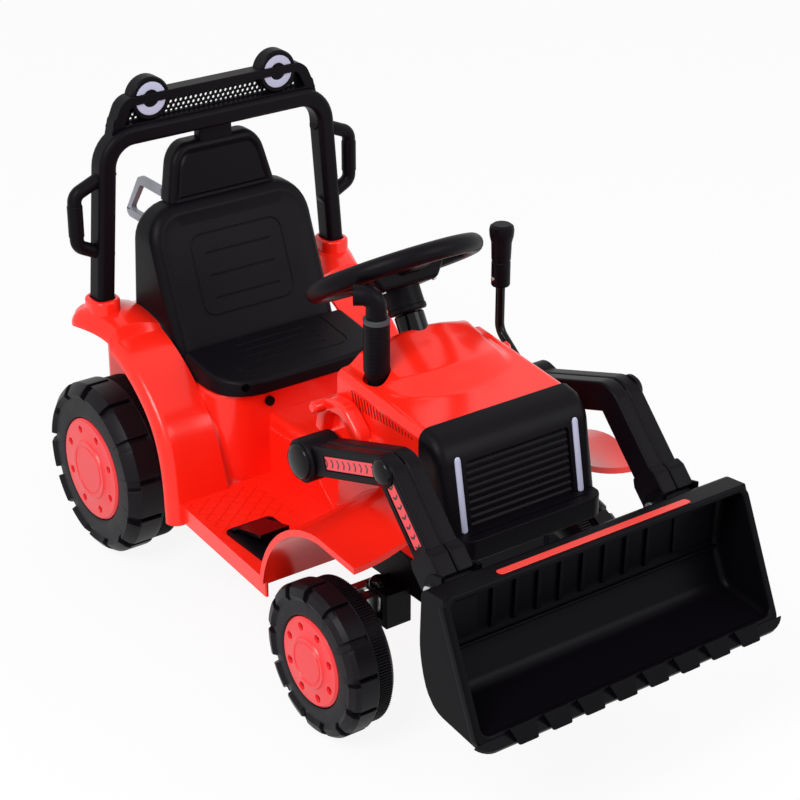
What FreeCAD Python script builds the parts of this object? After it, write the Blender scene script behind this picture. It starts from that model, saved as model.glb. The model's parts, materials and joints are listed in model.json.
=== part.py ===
import FreeCAD, Part
import math
import os
from types import SimpleNamespace

import Sketcher
from FreeCAD import Placement, Rotation, Vector

# Ride-on tractor with a front loader, in millimetres.
# +Z is up, the tractor drives towards -Y, +X is the driver's left, z = 0 is the ground.
SIZES = {
    # Layout of the two axles
    "rear_axle_y": 416,
    "wheelbase": 588,
    # Rear wheels
    "rear_tyre_radius": 130,
    "rear_tyre_width": 87,
    "rear_hub_radius": 78,
    "rear_face_x": 231,
    # Front wheels
    "front_tyre_radius": 105,
    "front_tyre_width": 73,
    "front_hub_radius": 62,
    "front_face_x": 237,
    # Both wheel sizes
    "lug_depth": 8,
    "lug_gap": 11,
    "tyre_wall": 5,
    "tread_step": 4,
    "hub_recess": 20,
    "hub_sink": 2,
    "hub_wall": 6,
    "hub_hole_radius": 6,
    "hub_hole_depth": 3,
    "hub_badge_rise": 3,
    "bush_radius": 14,
    "axle_radius": 5,
    "nut_radius": 9,
    "nut_height": 7,
    "running_gap": 0.05,
    "fit_gap": 0.3,
    # Lower body
    "floor_top_z": 172,
    "floor_half_width": 228,
    "floor_thickness": 6,
    "floor_lip": 26,
    "floor_edge": 4,
    "floor_front_gap": 110,
    "tunnel_half_width": 82,
    "tunnel_top_z": 300,
    "shell_wall": 4,
    "console_half_width": 136,
    "console_front_gap": 228,
    "console_rear_gap": 117,
    "console_sill_z": 108,
    "seat_shelf_z": 306,
    "deck_z": 362,
    "deck_front_gap": 15,
    "deck_fall": 40,
    "battery_shelf": 4,
    # Rear fenders
    "fender_half_width": 236,
    "fender_radius": 240,
    "fender_thickness": 18,
    "fender_toe_z": 140,
    "fender_bend_gap": 86,
    "fender_tail_gap": 36,
    "fender_tail_z": 388,
    "fender_tail_height": 42,
    "fender_round": 7,
    "collar_height": 18,
    "collar_wall": 11,
    # Front fenders
    "arch_half_width": 238,
    "arch_radius": 148,
    "arch_thickness": 8,
    "arch_droop": 6,
    "arch_top_z": 304,
    "arch_crown_gap": 28,
    "arch_tip_gap": 108,
    # Hood
    "hood_half_width": 118,
    "hood_back_gap": 100,
    "hood_nose_gap": 78,
    "hood_base_z": 250,
    "hood_back_z": 446,
    "hood_nose_z": 428,
    "bulge_half_width": 70,
    "bulge_back_z": 487,
    "bulge_nose_z": 458,
    "bulge_slope": 26,
    # Grille, lights and bumper
    "grille_overhang": 2,
    "grille_depth": 64,
    "grille_lean": 22,
    "grille_base_z": 302,
    "grille_top_drop": 22,
    "grille_rise": 10,
    "grille_edge": 34,
    "grille_sink": 4,
    "grille_bar_pitch": 13,
    "grille_bar_height": 5,
    "strip_width": 9,
    "strip_x": 92,
    "strip_proud": 2,
    "bumper_half_width": 112,
    "bumper_drop": 17,
    "bumper_lip": 12,
    "bumper_reach": 86,
    # Front axle housing, kingpins and steering
    "housing_half_width": 100,
    "beam_front": 62,
    "beam_back": 60,
    "housing_base_z": 176,
    "beam_base_z": 134,
    "beam_top_z": 184,
    "flange_thickness": 6,
    "shaft_shelf_half": 20,
    "shaft_shelf_height": 14,
    "ear_thickness": 10,
    "ear_reach": 39,
    "ear_front": 32,
    "ear_half_depth": 16,
    "ear_web": 10,
    "kingpin_x": 125,
    "kingpin_radius": 5,
    "kingpin_head": 13,
    "barrel_radius": 12,
    "leg_gap": 16,
    "leg_width": 11,
    "leg_half_depth": 9,
    "arm_length": 50,
    "arm_thickness": 6,
    "tie_rod_width": 16,
    "tie_rod_thickness": 6,
    "tie_pin_radius": 4,
    "slot_slack": 2,
    "crank_length": 25,
    "crank_pin_radius": 4,
    "shaft_radius": 5,
    "joint_radius": 9,
    "cup_radius": 13,
    "column_radius": 8,
    "wheel_tilt": 31.5,
    "wheel_y_gap": 139,
    "wheel_z": 548,
    "rim_radius": 112,
    "rim_tube": 14,
    "wheel_hub_radius": 33,
    "wheel_hub_depth": 34,
    "spoke_width": 44,
    "spoke_depth": 13,
    "boot_radius": 36,
    "boot_neck": 21,
    "boot_height": 34,
    "boot_flange": 6,
    # Exhaust stack
    "exhaust_x": 90,
    "exhaust_gap": 52,
    "exhaust_radius": 17,
    "exhaust_foot": 12,
    "exhaust_foot_height": 8,
    "exhaust_height": 78,
    "exhaust_collar": 6,
    "elbow_tube": 13,
    "elbow_rise": 14,
    "elbow_bend": 17,
    "elbow_mouth": 8,
    "elbow_turn": 53,
    # Roll bar, light bar and handles
    "roll_gap": 29,
    "roll_depth": 34,
    "roll_foot_z": 404,
    "roll_foot_x": 197,
    "roll_head_x": 179,
    "roll_tube": 27,
    "roll_top_z": 650,
    "roll_corner": 44,
    "neck_width": 24,
    "neck_depth": 26,
    "neck_length": 34,
    "light_bar_height": 40,
    "light_bar_half_width": 168,
    "light_bar_slope": 16,
    "light_bar_depth": 12,
    "light_bar_setback": 8,
    "strut_half_width": 27,
    "strut_depth": 20,
    "lamp_x": 105,
    "lamp_radius": 31,
    "lamp_lift": 1,
    "lamp_depth": 24,
    "lens_radius": 24,
    "lens_core": 12,
    "lens_proud": 2,
    "handle_x": 232,
    "handle_tube": 10,
    "handle_bottom_z": 486,
    "handle_top_z": 566,
    "handle_rise": 26,
    "handle_bend": 16,
    # Seat
    "seat_half_width": 134,
    "seat_front_gap": 246,
    "seat_depth": 120,
    "seat_height": 22,
    "seat_rake": 15,
    "seat_round": 11,
    "back_half_width": 134,
    "back_thickness": 36,
    "back_rise": 219,
    "back_lean": 93,
    "headrest_half_width": 89,
    "headrest_setback": 3,
    "headrest_rise": 80,
    "headrest_lean": 14,
    "headrest_thickness": 34,
    # Rear loop, button and socket
    "loop_x": 80,
    "loop_bar": 12,
    "loop_width": 10,
    "loop_top_reach": 66,
    "loop_back_reach": 46,
    "loop_rise": 12,
    "loop_height": 72,
    "loop_round": 9,
    "button_radius": 7,
    "button_length": 16,
    "button_proud": 5,
    "button_x": 58,
    "button_drop": 20,
    "socket_radius": 8,
    "socket_length": 18,
    "socket_drop": 44,
    # Drive
    "gearbox_width": 40,
    "gearbox_length": 96,
    "gearbox_height": 66,
    "motor_radius": 19,
    "motor_length": 52,
    "battery_width": 90,
    "battery_length": 70,
    "battery_height": 96,
    # Loader
    "pivot_gap": 61,
    "pivot_z": 361,
    "pivot_radius": 8,
    "bracket_width": 28,
    "bracket_top": 80,
    "bracket_foot": 52,
    "bracket_length": 118,
    "bracket_round": 16,
    "arm_gap": 5,
    "arm_width": 46,
    "arm_height": 40,
    "arm_wall": 4,
    "boss_radius": 29,
    "boss_proud": 6,
    "elbow_gap": 172,
    "elbow_lift": 57,
    "elbow_radius": 24,
    "reach_gap": 107,
    "reach_drop": 110,
    "tip_radius": 21,
    "cap_radius": 23,
    "cap_dome": 7,
    "elbow_cap_radius": 16,
    "stripe_width": 17,
    "stripe_thickness": 0.8,
    "lever_x": 171,
    "lever_tube": 6,
    "lever_bend": 24,
    "lever_foot": 64,
    "lever_back": 70,
    "lever_knee": 92,
    "grip_base": 124,
    "grip_top": 212,
    "grip_radius": 13,
    "grip_head": 17,
    "grip_head_height": 16,
    # Bucket
    "bucket_half_width": 238,
    "bucket_wall": 6,
    "bucket_top_reach": 66,
    "bucket_top_rise": 34,
    "bucket_back_reach": 26,
    "bucket_back_rise": 30,
    "bucket_heel_reach": 22,
    "bucket_heel_drop": 68,
    "bucket_base_reach": 46,
    "bucket_base_drop": 124,
    "bucket_lip_reach": 142,
    "bucket_lip_drop": 134,
    "edge_half_width": 244,
    "edge_reach": 8,
    "edge_thickness": 8,
    "tooth_width": 28,
    "tooth_reach": 6,
    "ear_plate": 5,
    "ear_gap": 1.5,
    "ear_radius": 17,
    "bolt_radius": 4,
    "bolt_head_radius": 8,
    "bolt_head_height": 6,
    "stripe_half_width": 150,
    # Pedal
    "pedal_x": 168,
    "pedal_width": 46,
    "pedal_length": 62,
    "pedal_height": 20,
    "pedal_heel_gap": 131,
    "pedal_pin_radius": 3,
    "pedal_toe": 6,
    "pedal_lug": 6,
    "pedal_lug_length": 14,
}
TOOTH_COUNT = 8
LUG_COUNT = 13
HUB_HOLE_COUNT = 8
SIDES = (("left", 1), ("right", -1))
PLANE_NORMALS = {"XY": Vector(0, 0, 1), "XZ": Vector(0, -1, 0), "YZ": Vector(1, 0, 0)}

doc = FreeCAD.newDocument("ride_on_tractor")
sheet = doc.addObject("Spreadsheet::Sheet", "Sizes")
for row, (alias, number) in enumerate(SIZES.items(), start=1):
    sheet.set(f"A{row}", alias)
    sheet.set(f"B{row}", str(number))
    sheet.setAlias(f"B{row}", alias)
doc.recompute()


class Size:
    """A number together with the formula that gives it from the sheet's cells."""

    def __init__(self, number, text):
        self.number = number
        self.text = text

    def __add__(self, other):
        other = size_of(other)
        return Size(self.number + other.number, f"({self.text} + {other.text})")

    def __sub__(self, other):
        other = size_of(other)
        return Size(self.number - other.number, f"({self.text} - {other.text})")

    def __mul__(self, other):
        other = size_of(other)
        return Size(self.number * other.number, f"({self.text} * {other.text})")

    def __truediv__(self, other):
        other = size_of(other)
        return Size(self.number / other.number, f"({self.text} / {other.text})")

    def __neg__(self):
        return Size(-self.number, f"(0 - {self.text})")

    def __rsub__(self, other):
        return size_of(other) - self

    __radd__ = __add__
    __rmul__ = __mul__


def size_of(value):
    if isinstance(value, Size):
        return value
    return Size(float(value), f"({value})")


def root(value):
    return Size(math.sqrt(value.number), f"sqrt({value.text})")


def reach(first, second):
    return root(first * first + second * second)


def turn_angle(rise, run):
    """Angle in degrees of a slope, positive when it climbs."""
    rise, run = size_of(rise), size_of(run)
    return Size(math.degrees(math.atan2(rise.number, run.number)), f"atan2({rise.text}; {run.text})")


def cosine(angle):
    return Size(math.cos(math.radians(angle.number)), f"cos({angle.text})")


def sine(angle):
    return Size(math.sin(math.radians(angle.number)), f"sin({angle.text})")


dim = SimpleNamespace(**{alias: Size(number, f"Sizes.{alias}") for alias, number in SIZES.items()})
nodes = []


def bind(thing, name, value):
    thing.setExpression(name, size_of(value).text)


def place(thing, x, y, z):
    for axis, value in zip("xyz", (x, y, z)):
        bind(thing, f"Placement.Base.{axis}", value)
    return thing


def node(thing, label):
    thing.Label = label
    nodes.append(thing)
    return thing


def box(name, low, lengths):
    thing = doc.addObject("Part::Box", name)
    for field, value in zip(("Length", "Width", "Height"), lengths):
        bind(thing, field, value)
    return place(thing, *low)


ROD_TURNS = {"X": (Vector(0, 1, 0), 90), "Y": (Vector(1, 0, 0), -90), "Z": (Vector(0, 0, 1), 0)}


def rod(name, axis, start, length, radius):
    """A cylinder that runs from its start along one of the three axes."""
    thing = doc.addObject("Part::Cylinder", name)
    bind(thing, "Radius", radius)
    bind(thing, "Height", length)
    thing.Placement = Placement(Vector(), Rotation(*ROD_TURNS[axis]))
    return place(thing, *start)


def lean(thing, angle, start):
    """Turn a solid about the X axis by a formula and set its start point."""
    thing.Placement = Placement(Vector(), Rotation(Vector(1, 0, 0), 1))
    bind(thing, "Placement.Rotation.Angle", angle)
    return place(thing, *start)


def fuse(name, solids):
    thing = doc.addObject("Part::MultiFuse", name)
    thing.Shapes = solids
    return thing


def cut(name, base, tools):
    thing = doc.addObject("Part::Cut", name)
    thing.Base = base
    thing.Tool = tools[0] if len(tools) == 1 else fuse(name + "_cuts", tools)
    return thing


def group(name, solids):
    thing = doc.addObject("Part::Compound", name)
    thing.Links = solids
    return thing


def arc_between(start, end, radius, bend):
    """The smaller arc from start to end, turning left for a bend of 1 and right for -1."""
    chord = end - start
    offset = math.sqrt(radius * radius - chord.Length * chord.Length / 4)
    across = Vector(-chord.y, chord.x, 0).normalize()
    centre = (start + end) / 2 + across * (offset * bend)
    first, last = (start, end) if bend > 0 else (end, start)
    angles = [math.atan2((point - centre).y, (point - centre).x) for point in (first, last)]
    circle = Part.Circle(centre, Vector(0, 0, 1), radius)
    return Part.ArcOfCircle(circle, *angles)


def draw(sketch, corners):
    """Close an outline through its corners; a corner with a radius starts an arc."""
    base = sketch.GeometryCount
    places = [Vector(size_of(corner[0]).number, size_of(corner[1]).number, 0) for corner in corners]
    ends = []
    for index, corner in enumerate(corners):
        start, end = places[index], places[(index + 1) % len(corners)]
        if len(corner) == 2:
            sketch.addGeometry(Part.LineSegment(start, end), False)
            ends.append((1, 2))
        else:
            radius, bend = corner[2], corner[3]
            sketch.addGeometry(arc_between(start, end, size_of(radius).number, bend), False)
            ends.append((1, 2) if bend > 0 else (2, 1))
    for index in range(len(corners)):
        following = (index + 1) % len(corners)
        sketch.addConstraint(Sketcher.Constraint(
            "Coincident", base + index, ends[index][1], base + following, ends[following][0]))
    for index, corner in enumerate(corners):
        for kind, value in zip(("DistanceX", "DistanceY"), corner[:2]):
            value = size_of(value)
            spot = sketch.addConstraint(Sketcher.Constraint(
                kind, -1, 1, base + index, ends[index][0], value.number))
            bind(sketch, f"Constraints[{spot}]", value)
        if len(corner) > 2:
            radius = size_of(corner[2])
            spot = sketch.addConstraint(Sketcher.Constraint("Radius", base + index, radius.number))
            bind(sketch, f"Constraints[{spot}]", radius)


def outline(body, name, plane, corners, start=0, holes=()):
    sketch = body.newObject("Sketcher::SketchObject", name)
    planes = {feature.Role: feature for feature in body.Origin.OriginFeatures}
    sketch.AttachmentSupport = [(planes[f"{plane}_Plane"], "")]
    sketch.MapMode = "FlatFace"
    bind(sketch, "AttachmentOffset.Base.z", start)
    for loop in (corners, *holes):
        draw(sketch, loop)
    return sketch


def corner_edges(shape, plane, corners):
    """Names of the straight edges that an outline's corners make when padded."""
    normal = PLANE_NORMALS[plane]
    spots = [tuple(size_of(value).number for value in corner[:2]) for corner in corners]
    names = []
    for index, edge in enumerate(shape.Edges, start=1):
        ends = [vertex.Point for vertex in edge.Vertexes]
        if len(ends) != 2 or (ends[1] - ends[0]).cross(normal).Length > 1e-4:
            continue
        flat = {"XY": (ends[0].x, ends[0].y), "XZ": (ends[0].x, ends[0].z),
                "YZ": (ends[0].y, ends[0].z)}[plane]
        if any(math.dist(flat, spot) < 1e-3 for spot in spots):
            names.append(f"Edge{index}")
    return names


def prism(name, plane, corners, start, length, rounds=(), holes=()):
    """A padded outline; rounds lists (radius, corner numbers) pairs."""
    body = doc.addObject("PartDesign::Body", name)
    sketch = outline(body, name + "_outline", plane, corners, start, holes)
    feature = body.newObject("PartDesign::Pad", name + "_pad")
    feature.Profile = sketch
    bind(feature, "Length", length)
    for index, (radius, numbers) in enumerate(rounds):
        doc.recompute()
        edges = corner_edges(feature.Shape, plane, [corners[number] for number in numbers])
        fillet = body.newObject("PartDesign::Fillet", f"{name}_round{index}")
        fillet.Base = (feature, edges)
        bind(fillet, "Radius", radius)
        feature = fillet
    return body


def side_start(side, low, width):
    return low if side > 0 else -(low + width)


def tube(name, points, radius, bend):
    """A round tube along straight runs with tangent arcs at the corners."""
    places = [Vector(*(size_of(value).number for value in point)) for point in points]
    edges = []
    last = places[0]
    for before, corner, after in zip(places, places[1:], places[2:]):
        back = (before - corner).normalize()
        ahead = (after - corner).normalize()
        half = (math.pi - back.getAngle(ahead)) / 2
        step = size_of(bend).number * math.tan(half)
        middle = corner + (back + ahead).normalize() * (size_of(bend).number * (1 / math.cos(half) - 1))
        first, second = corner + back * step, corner + ahead * step
        edges.append(Part.LineSegment(last, first).toShape())
        edges.append(Part.Arc(first, middle, second).toShape())
        last = second
    edges.append(Part.LineSegment(last, places[-1]).toShape())
    path = Part.Wire(edges)
    ring = Part.Wire([Part.Circle(places[0], (places[1] - places[0]), size_of(radius).number).toShape()])
    thing = doc.addObject("Part::Feature", name)
    thing.Shape = path.makePipeShell([ring], True, False)
    return thing


# Shared places
rear_y = dim.rear_axle_y
front_y = dim.rear_axle_y - dim.wheelbase
console_front = rear_y - dim.console_front_gap
console_rear = rear_y + dim.console_rear_gap
floor_front = front_y + dim.floor_front_gap
hood_back = front_y + dim.hood_back_gap
hood_nose = front_y - dim.hood_nose_gap
pivot_y = front_y + dim.pivot_gap
elbow_y = pivot_y - dim.elbow_gap
elbow_z = dim.pivot_z + dim.elbow_lift
bolt_y = elbow_y - dim.reach_gap
bolt_z = elbow_z - dim.reach_drop
axle_bore = dim.axle_radius + dim.running_gap
arm_inner_x = dim.hood_half_width + dim.bracket_width + dim.arm_gap
grille_half_width = dim.hood_half_width + dim.grille_overhang
wheel_y = front_y + dim.wheel_y_gap
shaft_y = front_y + dim.arm_length - dim.crank_length
lean_cos = cosine(dim.wheel_tilt)
lean_sin = sine(dim.wheel_tilt)
joint_z = dim.wheel_z - (wheel_y - shaft_y) * lean_cos / lean_sin
seat_front = rear_y - dim.seat_front_gap
shelf_back = seat_front + dim.seat_depth
back_top = dim.seat_shelf_z + dim.back_rise
head_top = back_top + dim.headrest_rise


def along_column(distance):
    """Point on the steering column, measured up from its joint."""
    return (0, shaft_y + lean_sin * distance, joint_z + lean_cos * distance)


column_length = (dim.wheel_z - joint_z) / lean_cos


# Wheels: an open-backed tyre moulding with lugs, and the hub cap that fills its face
def tyre(label, side, radius, width, hub_radius, face, bush_back, centre_y):
    wall = dim.tyre_wall
    inside = radius - dim.lug_depth - wall
    shoulder = dim.lug_depth + wall
    bush_end = dim.hub_recess + wall
    profile = [
        (dim.hub_recess, axle_bore), (bush_back, axle_bore), (bush_back, dim.bush_radius),
        (bush_end, dim.bush_radius),
        (bush_end, hub_radius + wall), (wall, hub_radius + wall), (wall, inside - wall), (wall * 3, inside),
        (width - wall, inside), (width - wall, hub_radius), (width, hub_radius), (width, inside),
        (width - wall, radius - dim.tread_step), (width / 2, radius - dim.tread_step), (width / 2, radius),
        (shoulder, radius), (0, radius - shoulder), (0, hub_radius), (dim.hub_recess, hub_radius),
    ]
    body = doc.addObject("PartDesign::Body", label)
    corners = [((face - depth) * side, height) for depth, height in profile]
    sketch = outline(body, label + "_profile", "XY", corners)
    spun = body.newObject("PartDesign::Revolution", label + "_spun")
    spun.Profile = sketch
    spun.ReferenceAxis = (sketch, ["H_Axis"])
    bind(spun, "Angle", 360)
    half_gap = dim.lug_gap / 2
    floor = radius - dim.lug_depth
    slot_corners = [(-half_gap, floor), (half_gap, floor), (half_gap, radius * 2), (-half_gap, radius * 2)]
    middle = (face - width / 2) * side if side > 0 else -face
    slot_sketch = outline(body, label + "_slot", "YZ", slot_corners, middle)
    slot = body.newObject("PartDesign::Pocket", label + "_gap")
    slot.Profile = slot_sketch
    slot.Reversed = True
    bind(slot, "Length", width / 2)
    pattern = body.newObject("PartDesign::PolarPattern", label + "_lugs")
    pattern.Originals = [slot]
    pattern.Axis = (slot_sketch, ["N_Axis"])
    pattern.Occurrences = LUG_COUNT
    body.Tip = pattern
    return node(place(body, 0, centre_y, radius), label)


def hub(label, side, hub_radius, face, centre_y, centre_z):
    outer = hub_radius - dim.fit_gap
    deep = dim.hub_recess
    profile = [
        (dim.hub_sink, 0), (dim.hub_sink, outer), (deep, outer), (deep, outer - dim.hub_wall),
        (dim.hub_sink + dim.hub_wall, outer - dim.hub_wall), (dim.hub_sink + dim.hub_wall, 0),
    ]
    body = doc.addObject("PartDesign::Body", label)
    corners = [((face - depth) * side, height) for depth, height in profile]
    sketch = outline(body, label + "_profile", "XY", corners)
    spun = body.newObject("PartDesign::Revolution", label + "_spun")
    spun.Profile = sketch
    spun.ReferenceAxis = (sketch, ["H_Axis"])
    bind(spun, "Angle", 360)
    front = face - dim.hub_sink
    hole_sketch = body.newObject("Sketcher::SketchObject", label + "_hole")
    planes = {feature.Role: feature for feature in body.Origin.OriginFeatures}
    hole_sketch.AttachmentSupport = [(planes["YZ_Plane"], "")]
    hole_sketch.MapMode = "FlatFace"
    bind(hole_sketch, "AttachmentOffset.Base.z",
         (front - dim.hub_hole_depth) * side if side > 0 else -front)
    ring = hub_radius * 0.78
    hole_sketch.addGeometry(Part.Circle(Vector(0, ring.number, 0), Vector(0, 0, 1),
                                        SIZES["hub_hole_radius"]))
    hole_sketch.addConstraint(Sketcher.Constraint("PointOnObject", 0, 3, -2))
    for kind, value in (("DistanceY", ring), ("Radius", dim.hub_hole_radius)):
        spots = (-1, 1, 0, 3) if kind == "DistanceY" else (0,)
        spot = hole_sketch.addConstraint(Sketcher.Constraint(kind, *spots, value.number))
        bind(hole_sketch, f"Constraints[{spot}]", value)
    hole = body.newObject("PartDesign::Pocket", label + "_bolt")
    hole.Profile = hole_sketch
    hole.Reversed = True
    bind(hole, "Length", dim.hub_hole_depth)
    pattern = body.newObject("PartDesign::PolarPattern", label + "_bolts")
    pattern.Originals = [hole]
    pattern.Axis = (hole_sketch, ["N_Axis"])
    pattern.Occurrences = HUB_HOLE_COUNT
    badge_wide, badge_tall = hub_radius * 0.24, hub_radius * 0.52
    badge_corners = [(-badge_wide, -badge_tall), (badge_wide, -badge_tall),
                     (badge_wide, badge_tall), (-badge_wide, badge_tall)]
    badge_start = front * side if side > 0 else -(front + dim.hub_badge_rise)
    badge_sketch = outline(body, label + "_badge", "YZ", badge_corners, badge_start)
    badge = body.newObject("PartDesign::Pad", label + "_raised")
    badge.Profile = badge_sketch
    bind(badge, "Length", dim.hub_badge_rise)
    body.Tip = badge
    return node(place(body, 0, centre_y, centre_z), label)


for side_name, side in SIDES:
    tyre(f"rear_tyre_{side_name}", side, dim.rear_tyre_radius, dim.rear_tyre_width, dim.rear_hub_radius,
         dim.rear_face_x, dim.rear_face_x - dim.console_half_width - dim.fit_gap, rear_y)
    hub(f"rear_hub_{side_name}", side, dim.rear_hub_radius, dim.rear_face_x, rear_y, dim.rear_tyre_radius)
    tyre(f"front_tyre_{side_name}", side, dim.front_tyre_radius, dim.front_tyre_width, dim.front_hub_radius,
         dim.front_face_x, dim.front_tyre_width, front_y)
    hub(f"front_hub_{side_name}", side, dim.front_hub_radius, dim.front_face_x, front_y,
        dim.front_tyre_radius)

# Rear axle with a nut inside each hub cap
nut_space = dim.hub_recess - dim.hub_sink - dim.hub_wall
axle_half = dim.rear_face_x - dim.hub_sink - dim.hub_wall - nut_space / 4
nut_x = dim.rear_face_x - dim.hub_recess + dim.fit_gap
node(rod("rear_axle_rod", "X", (-axle_half, rear_y, dim.rear_tyre_radius), axle_half * 2, dim.axle_radius),
     "rear_axle")
nuts = []
for side_name, side in SIDES:
    start = (side_start(side, nut_x, dim.nut_height), rear_y, dim.rear_tyre_radius)
    outside = rod(f"axle_nut_{side_name}_blank", "X", start, dim.nut_height, dim.nut_radius)
    bore = rod(f"axle_nut_{side_name}_bore", "X", start, dim.nut_height, axle_bore)
    nuts.append(cut(f"axle_nut_{side_name}", outside, [bore]))
node(group("axle_nut_pair", nuts), "rear_axle_nuts")

# Gearboxes on the axle inside the console, each with its motor in front
gearbox_x = dim.console_half_width - dim.shell_wall - dim.gearbox_width - dim.fit_gap
gear_boxes = []
motors = []
for side_name, side in SIDES:
    low_x = side_start(side, gearbox_x, dim.gearbox_width)
    low = (low_x, rear_y - dim.gearbox_length + dim.gearbox_height / 2,
           dim.rear_tyre_radius - dim.gearbox_height / 2)
    case = box(f"gearbox_{side_name}_case", low,
               (dim.gearbox_width, dim.gearbox_length, dim.gearbox_height))
    bore = rod(f"gearbox_{side_name}_bore", "X", (low_x, rear_y, dim.rear_tyre_radius), dim.gearbox_width,
               axle_bore)
    gear_boxes.append(cut(f"gearbox_{side_name}", case, [bore]))
    motor_y = rear_y - dim.gearbox_length + dim.gearbox_height / 2 + dim.motor_radius + dim.shell_wall
    motor_x = side_start(side, gearbox_x - dim.motor_length, dim.motor_length)
    motors.append(rod(f"motor_{side_name}", "X", (motor_x, motor_y, dim.rear_tyre_radius), dim.motor_length,
                      dim.motor_radius))
node(group("gearbox_pair", gear_boxes), "gearboxes")
node(group("motor_pair", motors), "drive_motors")

# Floor pan with side lips and the hollow tunnel between the footboards
floor_length = console_front - floor_front
floor_base = dim.floor_top_z - dim.floor_thickness
plate = box("floor_plate", (-dim.floor_half_width, floor_front, floor_base),
            (dim.floor_half_width * 2, floor_length, dim.floor_thickness))
lips = [box(f"floor_lip_{side_name}",
            (side_start(side, dim.floor_half_width - dim.floor_edge, dim.floor_edge), floor_front,
             dim.floor_top_z - dim.floor_lip),
            (dim.floor_edge, floor_length, dim.floor_lip)) for side_name, side in SIDES]
tunnel_length = console_front - hood_back
tunnel = box("tunnel_outside", (-dim.tunnel_half_width, hood_back, floor_base),
             (dim.tunnel_half_width * 2, tunnel_length, dim.tunnel_top_z - floor_base))
tunnel_hollow = box("tunnel_hollow", (dim.shell_wall - dim.tunnel_half_width, hood_back,
                                      floor_base - dim.shell_wall),
                    ((dim.tunnel_half_width - dim.shell_wall) * 2, tunnel_length,
                     dim.tunnel_top_z - floor_base))
fender_reliefs = [rod(f"floor_relief_{side_name}", "X",
                      (side_start(side, dim.console_half_width, dim.fender_half_width), rear_y,
                       dim.rear_tyre_radius),
                      dim.fender_half_width, dim.fender_radius + dim.fit_gap) for side_name, side in SIDES]
pedal_y = floor_front + dim.pedal_heel_gap
pedal_z = dim.floor_top_z + dim.fit_gap + dim.pedal_pin_radius
pedal_low_x = -dim.pedal_x - dim.pedal_width / 2
lug_low = -dim.pedal_x - dim.pedal_width / 2 - dim.pedal_lug - dim.fit_gap
lug_high = dim.pedal_width / 2 - dim.pedal_x + dim.fit_gap
lugs = [box(f"pedal_lug_{name}", (low_x, pedal_y - dim.pedal_lug_length / 2, floor_base),
            (dim.pedal_lug, dim.pedal_lug_length, pedal_z + dim.pedal_pin_radius * 2 - floor_base))
        for name, low_x in (("outer", lug_low), ("inner", lug_high))]
lug_bore = rod("pedal_lug_bore", "X", (lug_low, pedal_y, pedal_z), lug_high - lug_low + dim.pedal_lug,
               dim.pedal_pin_radius + dim.running_gap)
floor_blank = fuse("floor_blank", [plate, tunnel] + lips + lugs)
node(cut("floor_body", floor_blank, [tunnel_hollow, lug_bore] + fender_reliefs), "floor_pan")

# Seat console, open below, with holes for the rear axle
deck_front = rear_y + dim.deck_front_gap
console_outline = [
    (console_front, dim.console_sill_z), (console_front, dim.seat_shelf_z), (shelf_back, dim.seat_shelf_z),
    (deck_front, dim.deck_z), (console_rear, dim.deck_z - dim.deck_fall),
    (console_rear, dim.rear_tyre_radius), (console_rear - dim.console_sill_z / 2, dim.console_sill_z),
]
wall = dim.shell_wall
hollow_outline = [
    (console_front + wall, dim.console_sill_z - wall), (console_front + wall, dim.seat_shelf_z - wall),
    (shelf_back + wall, dim.seat_shelf_z - wall), (deck_front, dim.deck_z - wall * 1.2),
    (console_rear - wall, dim.deck_z - dim.deck_fall - wall), (console_rear - wall, dim.rear_tyre_radius),
    (console_rear - dim.console_sill_z / 2 - wall, dim.console_sill_z - wall),
]
console_outside = prism("console_outside", "YZ", console_outline, -dim.console_half_width,
                        dim.console_half_width * 2, [(dim.fender_round, (1, 4))])
console_hollow = prism("console_hollow", "YZ", hollow_outline, wall - dim.console_half_width,
                       (dim.console_half_width - wall) * 2)
axle_hole = rod("console_axle_hole", "X", (-dim.rear_face_x, rear_y, dim.rear_tyre_radius),
                dim.rear_face_x * 2,
                axle_bore)
button_z = dim.seat_shelf_z - dim.button_drop
button_hole = rod("console_button_hole", "Y", (-dim.button_x, console_front - wall, button_z), wall * 3,
                  dim.button_radius + dim.fit_gap)
socket_z = dim.seat_shelf_z - dim.socket_drop
socket_hole = rod("console_socket_hole", "Y", (0, console_rear - wall * 2, socket_z), wall * 3,
                  dim.socket_radius + dim.running_gap)
console_shell = cut("console_shell", console_outside, [console_hollow, axle_hole, button_hole, socket_hole])
battery_z = dim.seat_shelf_z - wall - dim.fit_gap - dim.battery_height
battery_shelf = box("console_battery_shelf", (-dim.battery_width / 2, console_front,
                                              battery_z - dim.battery_shelf),
                    (dim.battery_width, dim.battery_length + wall, dim.battery_shelf))
node(fuse("console_body", [console_shell, battery_shelf]), "seat_console")

# Battery on its shelf behind the console's front wall
battery_low = (-dim.battery_width / 2, console_front + wall, battery_z)
node(box("battery_case", battery_low, (dim.battery_width, dim.battery_length, dim.battery_height)),
     "battery")

# Power button through the console's front and charging socket through its rear
button_start = (-dim.button_x, console_front - dim.button_proud, button_z)
node(rod("button_body", "Y", button_start, dim.button_length, dim.button_radius), "power_button")
socket_start = (0, console_rear - dim.socket_length + dim.hub_sink, socket_z)
node(rod("socket_body", "Y", socket_start, dim.socket_length, dim.socket_radius), "charge_socket")

# Rear fenders: a band that rises in front of the wheel to the roll bar's collar
roll_y = rear_y - dim.roll_gap
fender_width = dim.fender_half_width - dim.console_half_width
toe_rise = dim.fender_toe_z - dim.rear_tyre_radius
inner_radius = dim.fender_radius - dim.fender_thickness
tail_y = rear_y + dim.fender_tail_gap
bend_y = rear_y - dim.fender_bend_gap


def on_circle(radius, offset):
    return root(radius * radius - offset * offset)


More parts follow.
